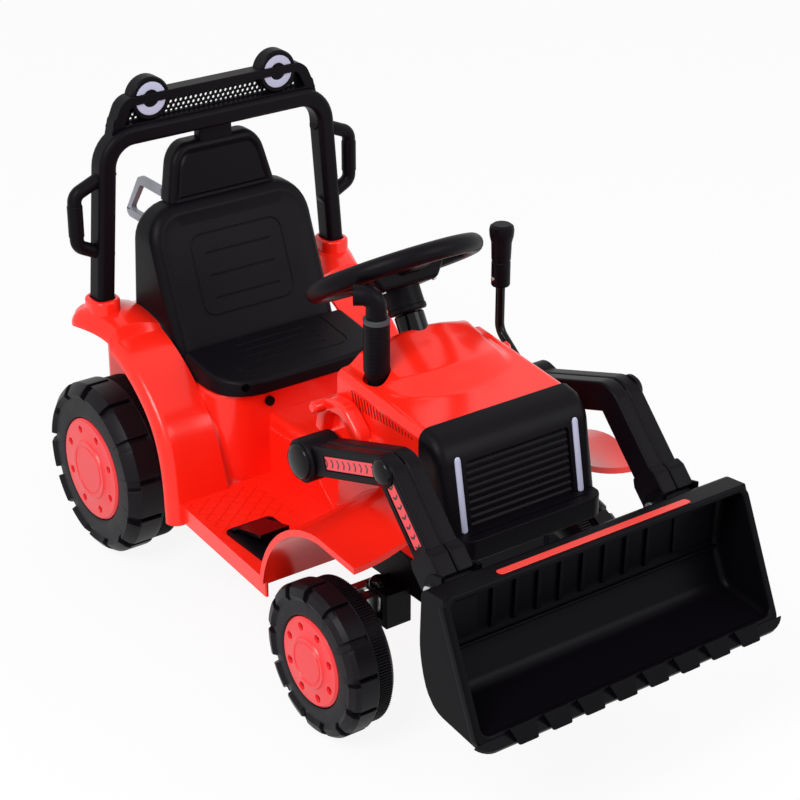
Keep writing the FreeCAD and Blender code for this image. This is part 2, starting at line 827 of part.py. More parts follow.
fender_outline = [
    (rear_y - on_circle(dim.fender_radius, toe_rise), dim.fender_toe_z, dim.fender_radius, -1),
    (bend_y, dim.rear_tyre_radius + on_circle(dim.fender_radius, dim.fender_bend_gap)),
    (tail_y, dim.fender_tail_z),
    (tail_y, dim.fender_tail_z - dim.fender_tail_height),
    (rear_y, dim.rear_tyre_radius + inner_radius, inner_radius, 1),
    (rear_y - on_circle(inner_radius, toe_rise), dim.fender_toe_z),
]
neck_x = dim.roll_foot_x - dim.neck_width / 2
neck_y = roll_y + (dim.roll_depth - dim.neck_depth) / 2
neck_base = dim.roll_foot_z - dim.neck_length
collar_base = dim.roll_foot_z - dim.collar_height * 2
for side_name, side in SIDES:
    name = f"rear_fender_{side_name}"
    band = prism(name + "_band", "YZ", fender_outline,
                 side_start(side, dim.console_half_width, fender_width),
                 fender_width, [(dim.fender_round, (1, 2))])
    collar_width = dim.neck_width + dim.collar_wall * 2
    collar = box(name + "_collar",
                 (side_start(side, neck_x - dim.collar_wall, collar_width), neck_y - dim.collar_wall,
                  collar_base),
                 (collar_width, dim.neck_depth + dim.collar_wall * 2, dim.roll_foot_z - collar_base))
    gap = dim.fit_gap
    socket = box(name + "_socket",
                 (side_start(side, neck_x - gap, dim.neck_width + gap * 2), neck_y - gap,
                  neck_base - dim.collar_height * 2),
                 (dim.neck_width + gap * 2, dim.neck_depth + gap * 2, dim.collar_height * 6))
    node(cut(name + "_body", fuse(name + "_blank", [band, collar]), [socket]), name)

# Roll bar: leaning posts, a top rail, a neck at each foot and the strut behind the headrest
half_tube = dim.roll_tube / 2
hoop_outline = [
    (-dim.roll_foot_x - half_tube, dim.roll_foot_z), (-dim.roll_head_x - half_tube, dim.roll_top_z),
    (dim.roll_head_x + half_tube, dim.roll_top_z), (dim.roll_foot_x + half_tube, dim.roll_foot_z),
    (dim.roll_foot_x - half_tube, dim.roll_foot_z),
    (dim.roll_head_x - half_tube, dim.roll_top_z - dim.roll_tube),
    (half_tube - dim.roll_head_x, dim.roll_top_z - dim.roll_tube),
    (half_tube - dim.roll_foot_x, dim.roll_foot_z),
]
hoop = prism("roll_hoop", "XZ", hoop_outline, -(roll_y + dim.roll_depth), dim.roll_depth,
             [(dim.roll_corner, (1, 2)), (dim.roll_corner - half_tube, (5, 6))])
necks = [box(f"roll_neck_{side_name}", (side_start(side, neck_x, dim.neck_width), neck_y, neck_base),
             (dim.neck_width, dim.neck_depth, dim.neck_length + half_tube)) for side_name, side in SIDES]
strut_y = roll_y + dim.roll_depth - dim.strut_depth
strut = box("roll_strut", (-dim.strut_half_width, strut_y, head_top),
            (dim.strut_half_width * 2, dim.strut_depth, dim.roll_top_z - half_tube - head_top))
node(fuse("roll_body", [hoop, strut] + necks), "roll_bar")

# Light bar on the top rail, with two lamps through it
lamp_z = dim.roll_top_z + dim.lamp_lift + dim.lamp_radius
bar_middle = roll_y + dim.roll_depth / 2 + dim.light_bar_setback
lamp_y = bar_middle - dim.lamp_depth / 2
bar_y = bar_middle - dim.light_bar_depth / 2
bar_top = dim.roll_top_z + dim.light_bar_height
bar_outline = [
    (-dim.light_bar_half_width, dim.roll_top_z), (dim.light_bar_half_width, dim.roll_top_z),
    (dim.light_bar_half_width - dim.light_bar_slope, bar_top),
    (dim.light_bar_slope - dim.light_bar_half_width, bar_top),
]
bar = prism("light_bar_blank", "XZ", bar_outline, -(bar_y + dim.light_bar_depth), dim.light_bar_depth)
snug = dim.running_gap
lamp_holes = []
lamp_cases = []
lenses = []
for side_name, side in SIDES:
    centre = (dim.lamp_x * side, lamp_y, lamp_z)
    lamp_holes.append(rod(f"lamp_hole_{side_name}", "Y", centre, dim.lamp_depth, dim.lamp_radius + snug))
    case = rod(f"lamp_case_{side_name}", "Y", centre, dim.lamp_depth, dim.lamp_radius)
    seat = rod(f"lamp_seat_{side_name}", "Y", centre, dim.lens_proud, dim.lens_radius + snug)
    core = rod(f"lamp_core_{side_name}", "Y", centre, dim.lens_proud, dim.lens_core - snug)
    lamp_cases.append(cut(f"lamp_{side_name}", case, [cut(f"lamp_ring_{side_name}", seat, [core])]))
    lens_start = (dim.lamp_x * side, lamp_y - dim.lens_proud, lamp_z)
    disc = rod(f"lens_disc_{side_name}", "Y", lens_start, dim.lens_proud * 2, dim.lens_radius)
    middle = rod(f"lens_middle_{side_name}", "Y", lens_start, dim.lens_proud * 2, dim.lens_core)
    lenses.append(cut(f"lens_{side_name}", disc, [middle]))
node(cut("light_bar", bar, lamp_holes), "light_bar_panel")
node(group("lamp_case_pair", lamp_cases), "roof_lamp_housings")
node(group("lens_pair", lenses), "roof_lamp_lenses")

# Grab handles on the outer faces of the posts
post_lean = (dim.roll_foot_x - dim.roll_head_x) / (dim.roll_top_z - dim.roll_foot_z)


def post_x(height):
    return dim.roll_foot_x + half_tube - (height - dim.roll_foot_z) * post_lean


handles = []
handle_y = roll_y + dim.roll_depth / 2
for side_name, side in SIDES:
    high, low = dim.handle_top_z + dim.handle_rise, dim.handle_bottom_z - dim.handle_rise
    route = [(post_x(high) * side, handle_y, high), (dim.handle_x * side, handle_y, dim.handle_top_z),
             (dim.handle_x * side, handle_y, dim.handle_bottom_z), (post_x(low) * side, handle_y, low)]
    pipe = tube(f"handle_pipe_{side_name}", route, dim.handle_tube, dim.handle_bend)
    handles.append(cut(f"handle_{side_name}", pipe, [hoop]))
node(group("handle_pair", handles), "grab_handles")

# Seat pan, leaning backrest and headrest: thin mouldings, open below
def moulding(label, corners, hollow, half_width, rounds):
    solid = prism(label + "_solid", "YZ", corners, -half_width, half_width * 2, rounds)
    space = prism(label + "_space", "YZ", hollow, wall - half_width, (half_width - wall) * 2)
    return node(cut(label + "_body", solid, [space]), label)


seat_rear = shelf_back - dim.fit_gap
pan_front_z = dim.seat_shelf_z + dim.seat_height
pan_rear_z = pan_front_z + dim.seat_rake
moulding("seat_pan",
         [(seat_front, dim.seat_shelf_z), (seat_front, pan_front_z), (seat_rear, pan_rear_z),
          (seat_rear, dim.seat_shelf_z)],
         [(seat_front + wall, dim.seat_shelf_z - wall), (seat_front + wall, pan_front_z - wall),
          (seat_rear - wall, pan_rear_z - wall), (seat_rear - wall, dim.seat_shelf_z - wall)],
         dim.seat_half_width, [(dim.seat_round, (1,))])
back_slope = dim.back_lean / dim.back_rise


def back_y(height):
    return shelf_back + (height - dim.seat_shelf_z) * back_slope


back_rear = back_y(back_top) + dim.back_thickness
moulding("seat_back",
         [(shelf_back, dim.seat_shelf_z), (back_y(back_top), back_top), (back_rear, back_top),
          (deck_front, dim.deck_z)],
         [(shelf_back + wall * 1.5, dim.seat_shelf_z - wall),
          (back_y(back_top - wall) + wall, back_top - wall),
          (back_rear - wall, back_top - wall), (deck_front - wall, dim.deck_z - wall * 2)],
         dim.back_half_width, [(dim.seat_round, (1, 2))])
head_front = back_y(back_top) + dim.headrest_setback
head_rear = head_front + dim.headrest_thickness
moulding("headrest",
         [(head_front, back_top), (head_front + dim.headrest_lean, head_top),
          (head_rear + dim.headrest_lean, head_top), (head_rear, back_top)],
         [(head_front + wall, back_top - wall), (head_front + dim.headrest_lean + wall, head_top - wall),
          (head_rear + dim.headrest_lean - wall, head_top - wall), (head_rear - wall, back_top - wall)],
         dim.headrest_half_width, [(dim.seat_round, (1, 2))])

# Flat-bar loop behind the seat, from the headrest down to the backrest
loop_top = back_top + dim.loop_rise
loop_low = loop_top - dim.loop_height
rear_slope = (deck_front - back_rear) / (back_top - dim.deck_z)
loop_anchor = back_rear + (back_top - loop_low) * rear_slope
loop_corner = head_rear + dim.loop_top_reach
loop_end = loop_corner + dim.loop_back_reach
bar = dim.loop_bar
loop_outline = [
    (head_rear, loop_top), (loop_corner, loop_top), (loop_end, loop_low), (loop_anchor, loop_low),
    (loop_anchor, loop_low + bar), (loop_end - bar * 1.5, loop_low + bar),
    (loop_corner - bar / 2, loop_top - bar), (head_rear, loop_top - bar),
]
loop_bent = prism("loop_bent", "YZ", loop_outline, -dim.loop_x - dim.loop_width / 2, dim.loop_width,
                  [(dim.loop_round, (1, 2)), (dim.loop_round / 2, (5, 6))])
seat_space = prism("loop_seat_space", "YZ",
                   [(shelf_back, dim.seat_shelf_z), (back_y(back_top), back_top), (back_rear, back_top),
                    (deck_front, dim.deck_z)], -dim.back_half_width, dim.back_half_width * 2)
head_space = prism("loop_head_space", "YZ",
                   [(head_front, back_top), (head_front + dim.headrest_lean, head_top),
                    (head_rear + dim.headrest_lean, head_top), (head_rear, back_top)],
                   -dim.headrest_half_width, dim.headrest_half_width * 2)
node(cut("loop_body", loop_bent, [seat_space, head_space]), "rear_carry_loop")

# Front fenders: an arch over the wheel that ends in a forward tip
arch_width = dim.arch_half_width - dim.hood_half_width
crown_y = front_y - dim.arch_crown_gap
tip_y = front_y - dim.arch_tip_gap
arch_outline = [
    (floor_front, dim.floor_top_z, dim.arch_radius, 1),
    (crown_y, dim.arch_top_z), (tip_y, dim.arch_top_z - dim.arch_droop),
    (tip_y, dim.arch_top_z - dim.arch_droop - dim.arch_thickness),
    (crown_y, dim.arch_top_z - dim.arch_thickness, dim.arch_radius - dim.arch_thickness, -1),
    (floor_front - dim.arch_thickness, dim.floor_top_z),
]
for side_name, side in SIDES:
    start = side_start(side, dim.hood_half_width, arch_width)
    node(prism(f"front_fender_{side_name}_band", "YZ", arch_outline, start, arch_width),
         f"front_fender_{side_name}")

# Hood: a hollow cover with a raised middle, holes for the loader shaft and the steering column
hood_outline = [(hood_back, dim.hood_base_z), (hood_back, dim.hood_back_z), (hood_nose, dim.hood_nose_z),
                (hood_nose, dim.hood_base_z)]
hood_slope = (dim.hood_back_z - dim.hood_nose_z) / (dim.hood_back_gap + dim.hood_nose_gap)
bulge_outline = [
    (hood_back, dim.hood_base_z), (hood_back, dim.hood_back_z),
    (hood_back - dim.bulge_slope / 2, dim.bulge_back_z),
    (hood_nose + dim.bulge_slope, dim.bulge_nose_z), (hood_nose, dim.hood_nose_z),
    (hood_nose, dim.hood_base_z),
]
hood_inside = [(hood_back - wall, dim.hood_base_z - wall), (hood_back - wall, dim.hood_back_z - wall),
               (hood_nose + wall, dim.hood_nose_z - wall), (hood_nose + wall, dim.hood_base_z - wall)]
bulge_inside = [
    (hood_back - wall, dim.hood_base_z), (hood_back - wall, dim.hood_back_z),
    (hood_back - dim.bulge_slope / 2 - wall, dim.bulge_back_z - wall),
    (hood_nose + dim.bulge_slope + wall, dim.bulge_nose_z - wall),
    (hood_nose + wall, dim.hood_nose_z - wall),
    (hood_nose + wall, dim.hood_base_z),
]
hood_cover = prism("hood_cover", "YZ", hood_outline, -dim.hood_half_width, dim.hood_half_width * 2)
hood_bulge = prism("hood_bulge", "YZ", bulge_outline, -dim.bulge_half_width, dim.bulge_half_width * 2)
hood_hollow = prism("hood_hollow", "YZ", hood_inside, wall - dim.hood_half_width,
                    (dim.hood_half_width - wall) * 2)
bulge_hollow = prism("bulge_hollow", "YZ", bulge_inside, wall - dim.bulge_half_width,
                     (dim.bulge_half_width - wall) * 2)
shaft_bore = rod("hood_shaft_bore", "X", (-dim.front_face_x, pivot_y, dim.pivot_z), dim.front_face_x * 2,
                 dim.pivot_radius + dim.running_gap)
column_hole = rod("hood_column_hole", "Z", (0, 0, 0), column_length, dim.cup_radius)
lean(column_hole, -dim.wheel_tilt, along_column(0))
node(cut("hood_body", fuse("hood_blank", [hood_cover, hood_bulge]),
         [hood_hollow, bulge_hollow, shaft_bore, column_hole]), "hood")

# Brackets that carry the loader's cross shaft beside the hood
bracket_outline = [
    (pivot_y + dim.bracket_foot, dim.pivot_z - dim.bracket_foot),
    (pivot_y + dim.bracket_foot, dim.pivot_z + dim.bracket_top / 2),
    (pivot_y, dim.pivot_z + dim.bracket_top), (pivot_y - dim.bracket_foot,
                                               dim.pivot_z + dim.bracket_top - wall * 2),
    (pivot_y + dim.bracket_foot - dim.bracket_length, dim.pivot_z + dim.bracket_top / 2),
    (pivot_y + dim.bracket_foot - dim.bracket_length, dim.pivot_z - dim.bracket_foot),
]
for side_name, side in SIDES:
    start = side_start(side, dim.hood_half_width, dim.bracket_width)
    plate = prism(f"bracket_{side_name}_plate", "YZ", bracket_outline, start, dim.bracket_width,
                  [(dim.bracket_round, (1, 2, 3, 4))])
    bore = rod(f"bracket_{side_name}_bore", "X", (start, pivot_y, dim.pivot_z), dim.bracket_width,
               dim.pivot_radius + dim.running_gap)
    node(cut(f"bracket_{side_name}_body", plate, [bore]), f"loader_bracket_{side_name}")

# Grille: a leaning frame on the hood's nose, bars set into it and two light strips
grille_top = dim.hood_nose_z + dim.grille_rise
grille_rise = grille_top - dim.grille_top_drop - dim.grille_base_z
grille_front = hood_nose - dim.grille_depth


def grille_y(height):
    return grille_front + (height - dim.grille_base_z) * dim.grille_lean / grille_rise


def grille_slab(name, low, high, sink, depth, half_width, shift=0):
    """A slab that follows the leaning front, from sink behind it to sink plus depth."""
    corners = [(grille_y(low) + sink, low), (grille_y(high) + sink, high),
               (grille_y(high) + sink + depth, high), (grille_y(low) + sink + depth, low)]
    return prism(name, "YZ", corners, shift - half_width, half_width * 2)


frame_outline = [
    (hood_nose, dim.grille_base_z), (hood_nose, grille_top),
    (grille_y(grille_top - dim.grille_top_drop) + dim.grille_top_drop, grille_top - dim.shell_wall),
    (grille_y(grille_top - dim.grille_top_drop), grille_top - dim.grille_top_drop),
    (grille_front, dim.grille_base_z),
]
frame = prism("grille_block", "YZ", frame_outline, -grille_half_width, grille_half_width * 2)
window_low = dim.grille_base_z + dim.grille_bar_pitch
window_high = grille_top - dim.grille_top_drop - dim.grille_bar_pitch
window_half = grille_half_width - dim.grille_edge
window = grille_slab("grille_window", window_low, window_high, 0, dim.grille_sink * 2, window_half)
hollow_depth = dim.grille_depth - dim.grille_lean - dim.grille_sink * 3
frame_hollow = box("grille_hollow", (wall - grille_half_width, hood_nose - hollow_depth,
                                     dim.grille_base_z + wall),
                   ((grille_half_width - wall) * 2, hollow_depth, grille_rise - wall))
strip_low = dim.grille_base_z + dim.bumper_lip + dim.fit_gap
strip_high = window_high + dim.shell_wall
strip_seats = []
strips = []
for side_name, side in SIDES:
    strip_seats.append(grille_slab(f"strip_seat_{side_name}", strip_low, strip_high, 0, dim.grille_sink,
                                   dim.strip_width / 2, dim.strip_x * side))
    strips.append(grille_slab(f"strip_{side_name}", strip_low, strip_high, -dim.strip_proud,
                              dim.grille_sink + dim.strip_proud, dim.strip_width / 2, dim.strip_x * side))
node(cut("grille_body", frame, [window, frame_hollow] + strip_seats), "grille_frame")
back_plate = grille_slab("grille_back", window_low, window_high, dim.grille_sink, dim.grille_sink,
                         window_half)
bar_count = int((window_high - window_low).number // SIZES["grille_bar_pitch"])
bars = [grille_slab(f"grille_bar_{index}", window_low + dim.grille_bar_pitch * index,
                    window_low + dim.grille_bar_pitch * index + dim.grille_bar_height, 0, dim.grille_sink,
                    window_half)
        for index in range(bar_count)]
node(fuse("grille_insert", [back_plate] + bars), "grille_mesh")
node(group("strip_pair", strips), "headlight_strips")
bumper_front = hood_nose - dim.bumper_reach
bumper_outline = [
    (hood_nose, dim.grille_base_z - dim.bumper_drop), (hood_nose, dim.grille_base_z),
    (grille_front, dim.grille_base_z), (grille_front, dim.grille_base_z + dim.bumper_lip),
    (bumper_front, dim.grille_base_z + dim.bumper_lip), (bumper_front, dim.grille_base_z),
    (bumper_front + dim.bumper_drop, dim.grille_base_z - dim.bumper_drop),
]
node(prism("bumper_block", "YZ", bumper_outline, -dim.bumper_half_width, dim.bumper_half_width * 2),
     "nose_bumper")

# Front axle housing with two ears for each kingpin
beam_low_y = front_y - dim.beam_front
beam_depth = dim.beam_front + dim.beam_back
block_height = dim.hood_base_z - dim.housing_base_z
block = box("housing_block", (-dim.housing_half_width, beam_low_y, dim.housing_base_z),
            (dim.housing_half_width * 2, beam_depth, block_height))
block_hollow = box("housing_hollow",
                   (wall - dim.housing_half_width, beam_low_y + wall, dim.housing_base_z + wall),
                   ((dim.housing_half_width - wall) * 2, beam_depth - wall * 2, block_height))
flange = box("housing_flange", (-dim.hood_half_width, hood_nose, dim.hood_base_z - dim.flange_thickness),
             (dim.hood_half_width * 2, dim.hood_back_gap + dim.hood_nose_gap, dim.flange_thickness))
flange_window = box("housing_window", (wall * 3 - dim.hood_half_width, hood_nose + wall * 3,
                                       dim.hood_base_z - dim.flange_thickness),
                    ((dim.hood_half_width - wall * 3) * 2, dim.hood_back_gap + dim.hood_nose_gap - wall * 6,
                     dim.flange_thickness))
shelf = box("housing_shelf", (-dim.shaft_shelf_half, beam_low_y, dim.hood_base_z - dim.shaft_shelf_height),
            (dim.shaft_shelf_half * 2, shaft_y - beam_low_y + dim.shaft_shelf_half, dim.shaft_shelf_height))
shelf_bore = rod("housing_shaft_bore", "Z", (0, shaft_y, 0), dim.hood_base_z,
                 dim.shaft_radius + dim.running_gap)
upper_ear = dim.beam_top_z - dim.ear_thickness
ears = []
ear_low_y = front_y - dim.ear_front
for side_name, side in SIDES:
    ear_start = side_start(side, dim.housing_half_width - wall, dim.ear_reach)
    for level, height in (("lower", dim.beam_base_z), ("upper", upper_ear)):
        ears.append(box(f"ear_{level}_{side_name}", (ear_start, ear_low_y, height),
                        (dim.ear_reach, dim.ear_front + dim.ear_half_depth, dim.ear_thickness)))
    ears.append(box(f"kingpin_web_{side_name}", (ear_start, ear_low_y, dim.beam_base_z),
                    (dim.ear_reach, dim.ear_web, dim.beam_top_z - dim.beam_base_z)))
pin_bores = [rod(f"ear_bore_{side_name}", "Z", (dim.kingpin_x * side, front_y, dim.beam_base_z),
                 dim.beam_top_z - dim.beam_base_z, dim.kingpin_radius + snug) for side_name, side in SIDES]
housing_shell = cut("housing_shell", block, [block_hollow])
housing_rim = cut("housing_rim", flange, [flange_window])
housing_blank = fuse("housing_blank", [housing_shell, housing_rim, shelf] + ears)
node(cut("housing_body", housing_blank, pin_bores + [shelf_bore]), "front_axle_housing")
kingpins = []
for side_name, side in SIDES:
    spot = dim.kingpin_x * side
    shank = rod(f"kingpin_shank_{side_name}", "Z", (spot, front_y, dim.beam_base_z),
                dim.beam_top_z - dim.beam_base_z, dim.kingpin_radius)
    dome = doc.addObject("Part::Sphere", f"kingpin_dome_{side_name}")
    bind(dome, "Radius", dim.kingpin_head)
    dome.Angle1 = 0
    place(dome, spot, front_y, dim.beam_top_z)
    kingpins.append(fuse(f"kingpin_{side_name}", [shank, dome]))
node(group("kingpin_pair", kingpins), "kingpins")

# Steering knuckles: a barrel on the kingpin, a leg down to the stub axle and an arm to the tie rod
barrel_low = dim.beam_base_z + dim.ear_thickness + dim.fit_gap
barrel_high = upper_ear - dim.fit_gap
arm_z = barrel_low
tie_y = front_y + dim.arm_length
stub_end = dim.front_face_x - dim.hub_sink - dim.hub_wall - nut_space / 4
leg_inner = dim.kingpin_x + dim.leg_gap
leg_outer = leg_inner + dim.leg_width
leg_low_y = front_y - dim.leg_half_depth
leg_low_z = dim.front_tyre_radius - dim.nut_radius
for side_name, side in SIDES:
    name = f"knuckle_{side_name}"
    spot = dim.kingpin_x * side
    barrel = rod(name + "_barrel", "Z", (spot, front_y, barrel_low), barrel_high - barrel_low,
                 dim.barrel_radius)
    bridge = box(name + "_bridge",
                 (side_start(side, dim.kingpin_x, leg_outer - dim.kingpin_x), leg_low_y, barrel_low),
                 (leg_outer - dim.kingpin_x, dim.leg_half_depth * 2, barrel_high - barrel_low))
    leg = box(name + "_leg", (side_start(side, leg_inner, dim.leg_width), leg_low_y, leg_low_z),
              (dim.leg_width, dim.leg_half_depth * 2, barrel_high - leg_low_z))
    stub_start = (side_start(side, leg_inner, stub_end - leg_inner), front_y, dim.front_tyre_radius)
    stub = rod(name + "_stub", "X", stub_start, stub_end - leg_inner, dim.axle_radius)
    nut_start = (side_start(side, dim.front_face_x - dim.hub_recess + dim.fit_gap, dim.nut_height), front_y,
                 dim.front_tyre_radius)
    stub_nut = rod(name + "_nut", "X", nut_start, dim.nut_height, dim.nut_radius)
    collar_length = dim.front_face_x - dim.front_tyre_width - dim.fit_gap - leg_inner
    collar = rod(name + "_collar", "X",
                 (side_start(side, leg_inner, collar_length), front_y, dim.front_tyre_radius),
                 collar_length, dim.nut_radius)
    arm = box(name + "_arm", (spot - dim.tie_rod_width / 2, front_y, arm_z),
              (dim.tie_rod_width, dim.arm_length + dim.tie_rod_width / 2, dim.arm_thickness))
    pin = rod(name + "_pin", "Z", (spot, tie_y, arm_z),
              dim.arm_thickness + dim.tie_rod_thickness + dim.fit_gap,
              dim.tie_pin_radius)
    bore = rod(name + "_bore", "Z", (spot, front_y, barrel_low), barrel_high - barrel_low,
               dim.kingpin_radius + dim.running_gap)
    node(cut(name + "_body", fuse(name + "_blank", [barrel, bridge, leg, stub, stub_nut, collar, arm, pin]),
             [bore]), name)

# Tie rod with a slot for the crank pin
tie_z = arm_z + dim.arm_thickness + dim.fit_gap
tie_bar = box("tie_bar", (-dim.kingpin_x - dim.tie_rod_width / 2, tie_y - dim.tie_rod_width / 2, tie_z),
              (dim.kingpin_x * 2 + dim.tie_rod_width, dim.tie_rod_width, dim.tie_rod_thickness))
pad_half = dim.tie_rod_width + dim.slot_slack
tie_pad = box("tie_pad", (-pad_half, tie_y - pad_half, tie_z),
              (pad_half * 2, pad_half * 2, dim.tie_rod_thickness))
slot_half = dim.crank_pin_radius + dim.slot_slack
tie_slot = box("tie_slot", (-slot_half, tie_y - dim.tie_rod_width, tie_z),
               (slot_half * 2, dim.tie_rod_width * 2, dim.tie_rod_thickness))
tie_bores = [rod(f"tie_bore_{side_name}", "Z", (dim.kingpin_x * side, tie_y, tie_z), dim.tie_rod_thickness,
                 dim.tie_pin_radius + dim.running_gap) for side_name, side in SIDES]
node(cut("tie_body", fuse("tie_blank", [tie_bar, tie_pad]), [tie_slot] + tie_bores), "tie_rod")

# Lower steering shaft: ball joint on top, crank and pin below
crank_z = tie_z + dim.tie_rod_thickness + dim.fit_gap
shaft = rod("shaft_rod", "Z", (0, shaft_y, crank_z), joint_z - crank_z, dim.shaft_radius)
ball = doc.addObject("Part::Sphere", "shaft_ball")
bind(ball, "Radius", dim.joint_radius)
place(ball, 0, shaft_y, joint_z)
crank = box("shaft_crank", (-dim.shaft_radius, shaft_y - dim.shaft_radius, crank_z),
            (dim.shaft_radius * 2, dim.crank_length + dim.shaft_radius * 2, dim.arm_thickness))
crank_pin = rod("shaft_pin", "Z", (0, shaft_y + dim.crank_length, tie_z),
                crank_z - tie_z + dim.arm_thickness,
                dim.crank_pin_radius)
node(fuse("shaft_body", [shaft, ball, crank, crank_pin]), "steering_shaft")

# Steering column with a cup over the ball, and the steering wheel on top of it
cup = lean(rod("column_cup", "Z", (0, 0, 0), dim.joint_radius * 2, dim.cup_radius), -dim.wheel_tilt,
           along_column(0))
cup_ball = doc.addObject("Part::Sphere", "column_cup_ball")
bind(cup_ball, "Radius", dim.joint_radius + dim.fit_gap)
place(cup_ball, 0, shaft_y, joint_z)
cup_floor = lean(rod("column_cup_mouth", "Z", (0, 0, 0), dim.fit_gap, dim.cup_radius), -dim.wheel_tilt,
                 along_column(0))
stem = lean(rod("column_stem", "Z", (0, 0, 0), column_length - dim.joint_radius - dim.wheel_hub_depth,
                dim.column_radius), -dim.wheel_tilt, along_column(dim.joint_radius))
node(cut("column_body", fuse("column_blank", [cup, stem]), [cup_ball, cup_floor]), "steering_column")
rim = doc.addObject("Part::Torus", "wheel_rim")
bind(rim, "Radius1", dim.rim_radius)
bind(rim, "Radius2", dim.rim_tube)
lean(rim, -dim.wheel_tilt, along_column(column_length))
wheel_hub = rod("wheel_hub", "Z", (0, 0, 0), dim.wheel_hub_depth + dim.spoke_depth, dim.wheel_hub_radius)
lean(wheel_hub, -dim.wheel_tilt, along_column(column_length - dim.wheel_hub_depth))


def on_wheel(name, across, up_slope, lengths):
    """A block in the steering wheel's plane, from a corner across and up the slope."""
    thing = box(name, (0, 0, 0), lengths)
    thing.Placement = Placement(Vector(), Rotation(Vector(1, 0, 0), 1))
    bind(thing, "Placement.Rotation.Angle", -dim.wheel_tilt)
    base = along_column(column_length - dim.spoke_depth / 2)
    return place(thing, across, base[1] + lean_cos * up_slope, base[2] - lean_sin * up_slope)


bar_spoke = on_wheel("wheel_bar", -dim.rim_radius, -dim.spoke_width / 2,
                     (dim.rim_radius * 2, dim.spoke_width, dim.spoke_depth))
low_spoke = on_wheel("wheel_low", -dim.spoke_width / 2, 0,
                     (dim.spoke_width, dim.rim_radius, dim.spoke_depth))
node(fuse("wheel_body", [rim, wheel_hub, bar_spoke, low_spoke]), "steering_wheel")
boot_start = ((dim.bulge_back_z + dim.hood_back_z) / 2 - joint_z) / lean_cos
boot_low = boot_start - dim.boot_flange
boot_disc = lean(rod("boot_flange_disc", "Z", (0, 0, 0), dim.boot_flange * 3, dim.boot_radius),
                 -dim.wheel_tilt,
              along_column(boot_low))
boot_tube = lean(rod("boot_tube", "Z", (0, 0, 0), dim.boot_height, dim.boot_neck), -dim.wheel_tilt,
                 along_column(boot_low))
boot_bore = lean(rod("boot_bore", "Z", (0, 0, 0), dim.boot_height, dim.column_radius + dim.running_gap),
                 -dim.wheel_tilt,
                 along_column(boot_low))
hood_copy = fuse("boot_hood_space", [hood_cover, hood_bulge])
node(cut("boot_body", fuse("boot_blank", [boot_disc, boot_tube]), [boot_bore, hood_copy]), "steering_boot")

# Exhaust stack on the hood's shoulder
exhaust_y = front_y + dim.exhaust_gap
exhaust_x = -dim.exhaust_x
shoulder_z = dim.hood_nose_z + (exhaust_y - hood_nose) * hood_slope
stack_z = shoulder_z + dim.exhaust_foot_height
foot = rod("exhaust_foot_rod", "Z", (exhaust_x, exhaust_y, shoulder_z - dim.shell_wall),
           dim.exhaust_foot_height * 2,
           dim.exhaust_foot)
stack = rod("exhaust_pipe", "Z", (exhaust_x, exhaust_y, stack_z), dim.exhaust_height, dim.exhaust_radius)
node(cut("exhaust_body", fuse("exhaust_blank", [foot, stack]),
         [fuse("exhaust_hood_space", [hood_cover, hood_bulge])]),
     "exhaust_stack")
collar_z = stack_z + dim.exhaust_height
node(rod("exhaust_ring", "Z", (exhaust_x, exhaust_y, collar_z), dim.exhaust_collar, dim.exhaust_radius),
     "exhaust_collar")
mouth_z = collar_z + dim.exhaust_collar
elbow_top = mouth_z + dim.elbow_rise + dim.elbow_bend
elbow_reach = dim.elbow_bend + dim.elbow_mouth
elbow_route = [(exhaust_x, exhaust_y, mouth_z), (exhaust_x, exhaust_y, elbow_top),
               (exhaust_x - sine(dim.elbow_turn) * elbow_reach,
                exhaust_y + cosine(dim.elbow_turn) * elbow_reach,
                elbow_top)]
node(tube("exhaust_elbow_pipe", elbow_route, dim.elbow_tube, dim.elbow_bend), "exhaust_elbow")

# Loader arms: a boss on the cross shaft, a rising beam, an elbow and a steep front beam
rear_length = reach(dim.elbow_gap, dim.elbow_lift)
rear_angle = turn_angle(-dim.elbow_lift, dim.elbow_gap)
front_length = reach(dim.reach_gap, dim.reach_drop)
front_angle = turn_angle(dim.reach_drop, dim.reach_gap)


def beam(name, start_x, width, height, origin_y, origin_z, length, angle):
    """A bar of the arm from a point, running forward and turned about X by an angle."""
    thing = doc.addObject("Part::Box", name)
    for field, value in zip(("Length", "Width", "Height"), (width, length, height)):
        bind(thing, field, value)
    thing.Placement = Placement(Vector(), Rotation(Vector(1, 0, 0), 1))
    bind(thing, "Placement.Rotation.Angle", angle)
    across_y = origin_y - cosine(angle) * length + sine(angle) * height / 2
    across_z = origin_z - sine(angle) * length - cosine(angle) * height / 2
    return place(thing, start_x, across_y, across_z)


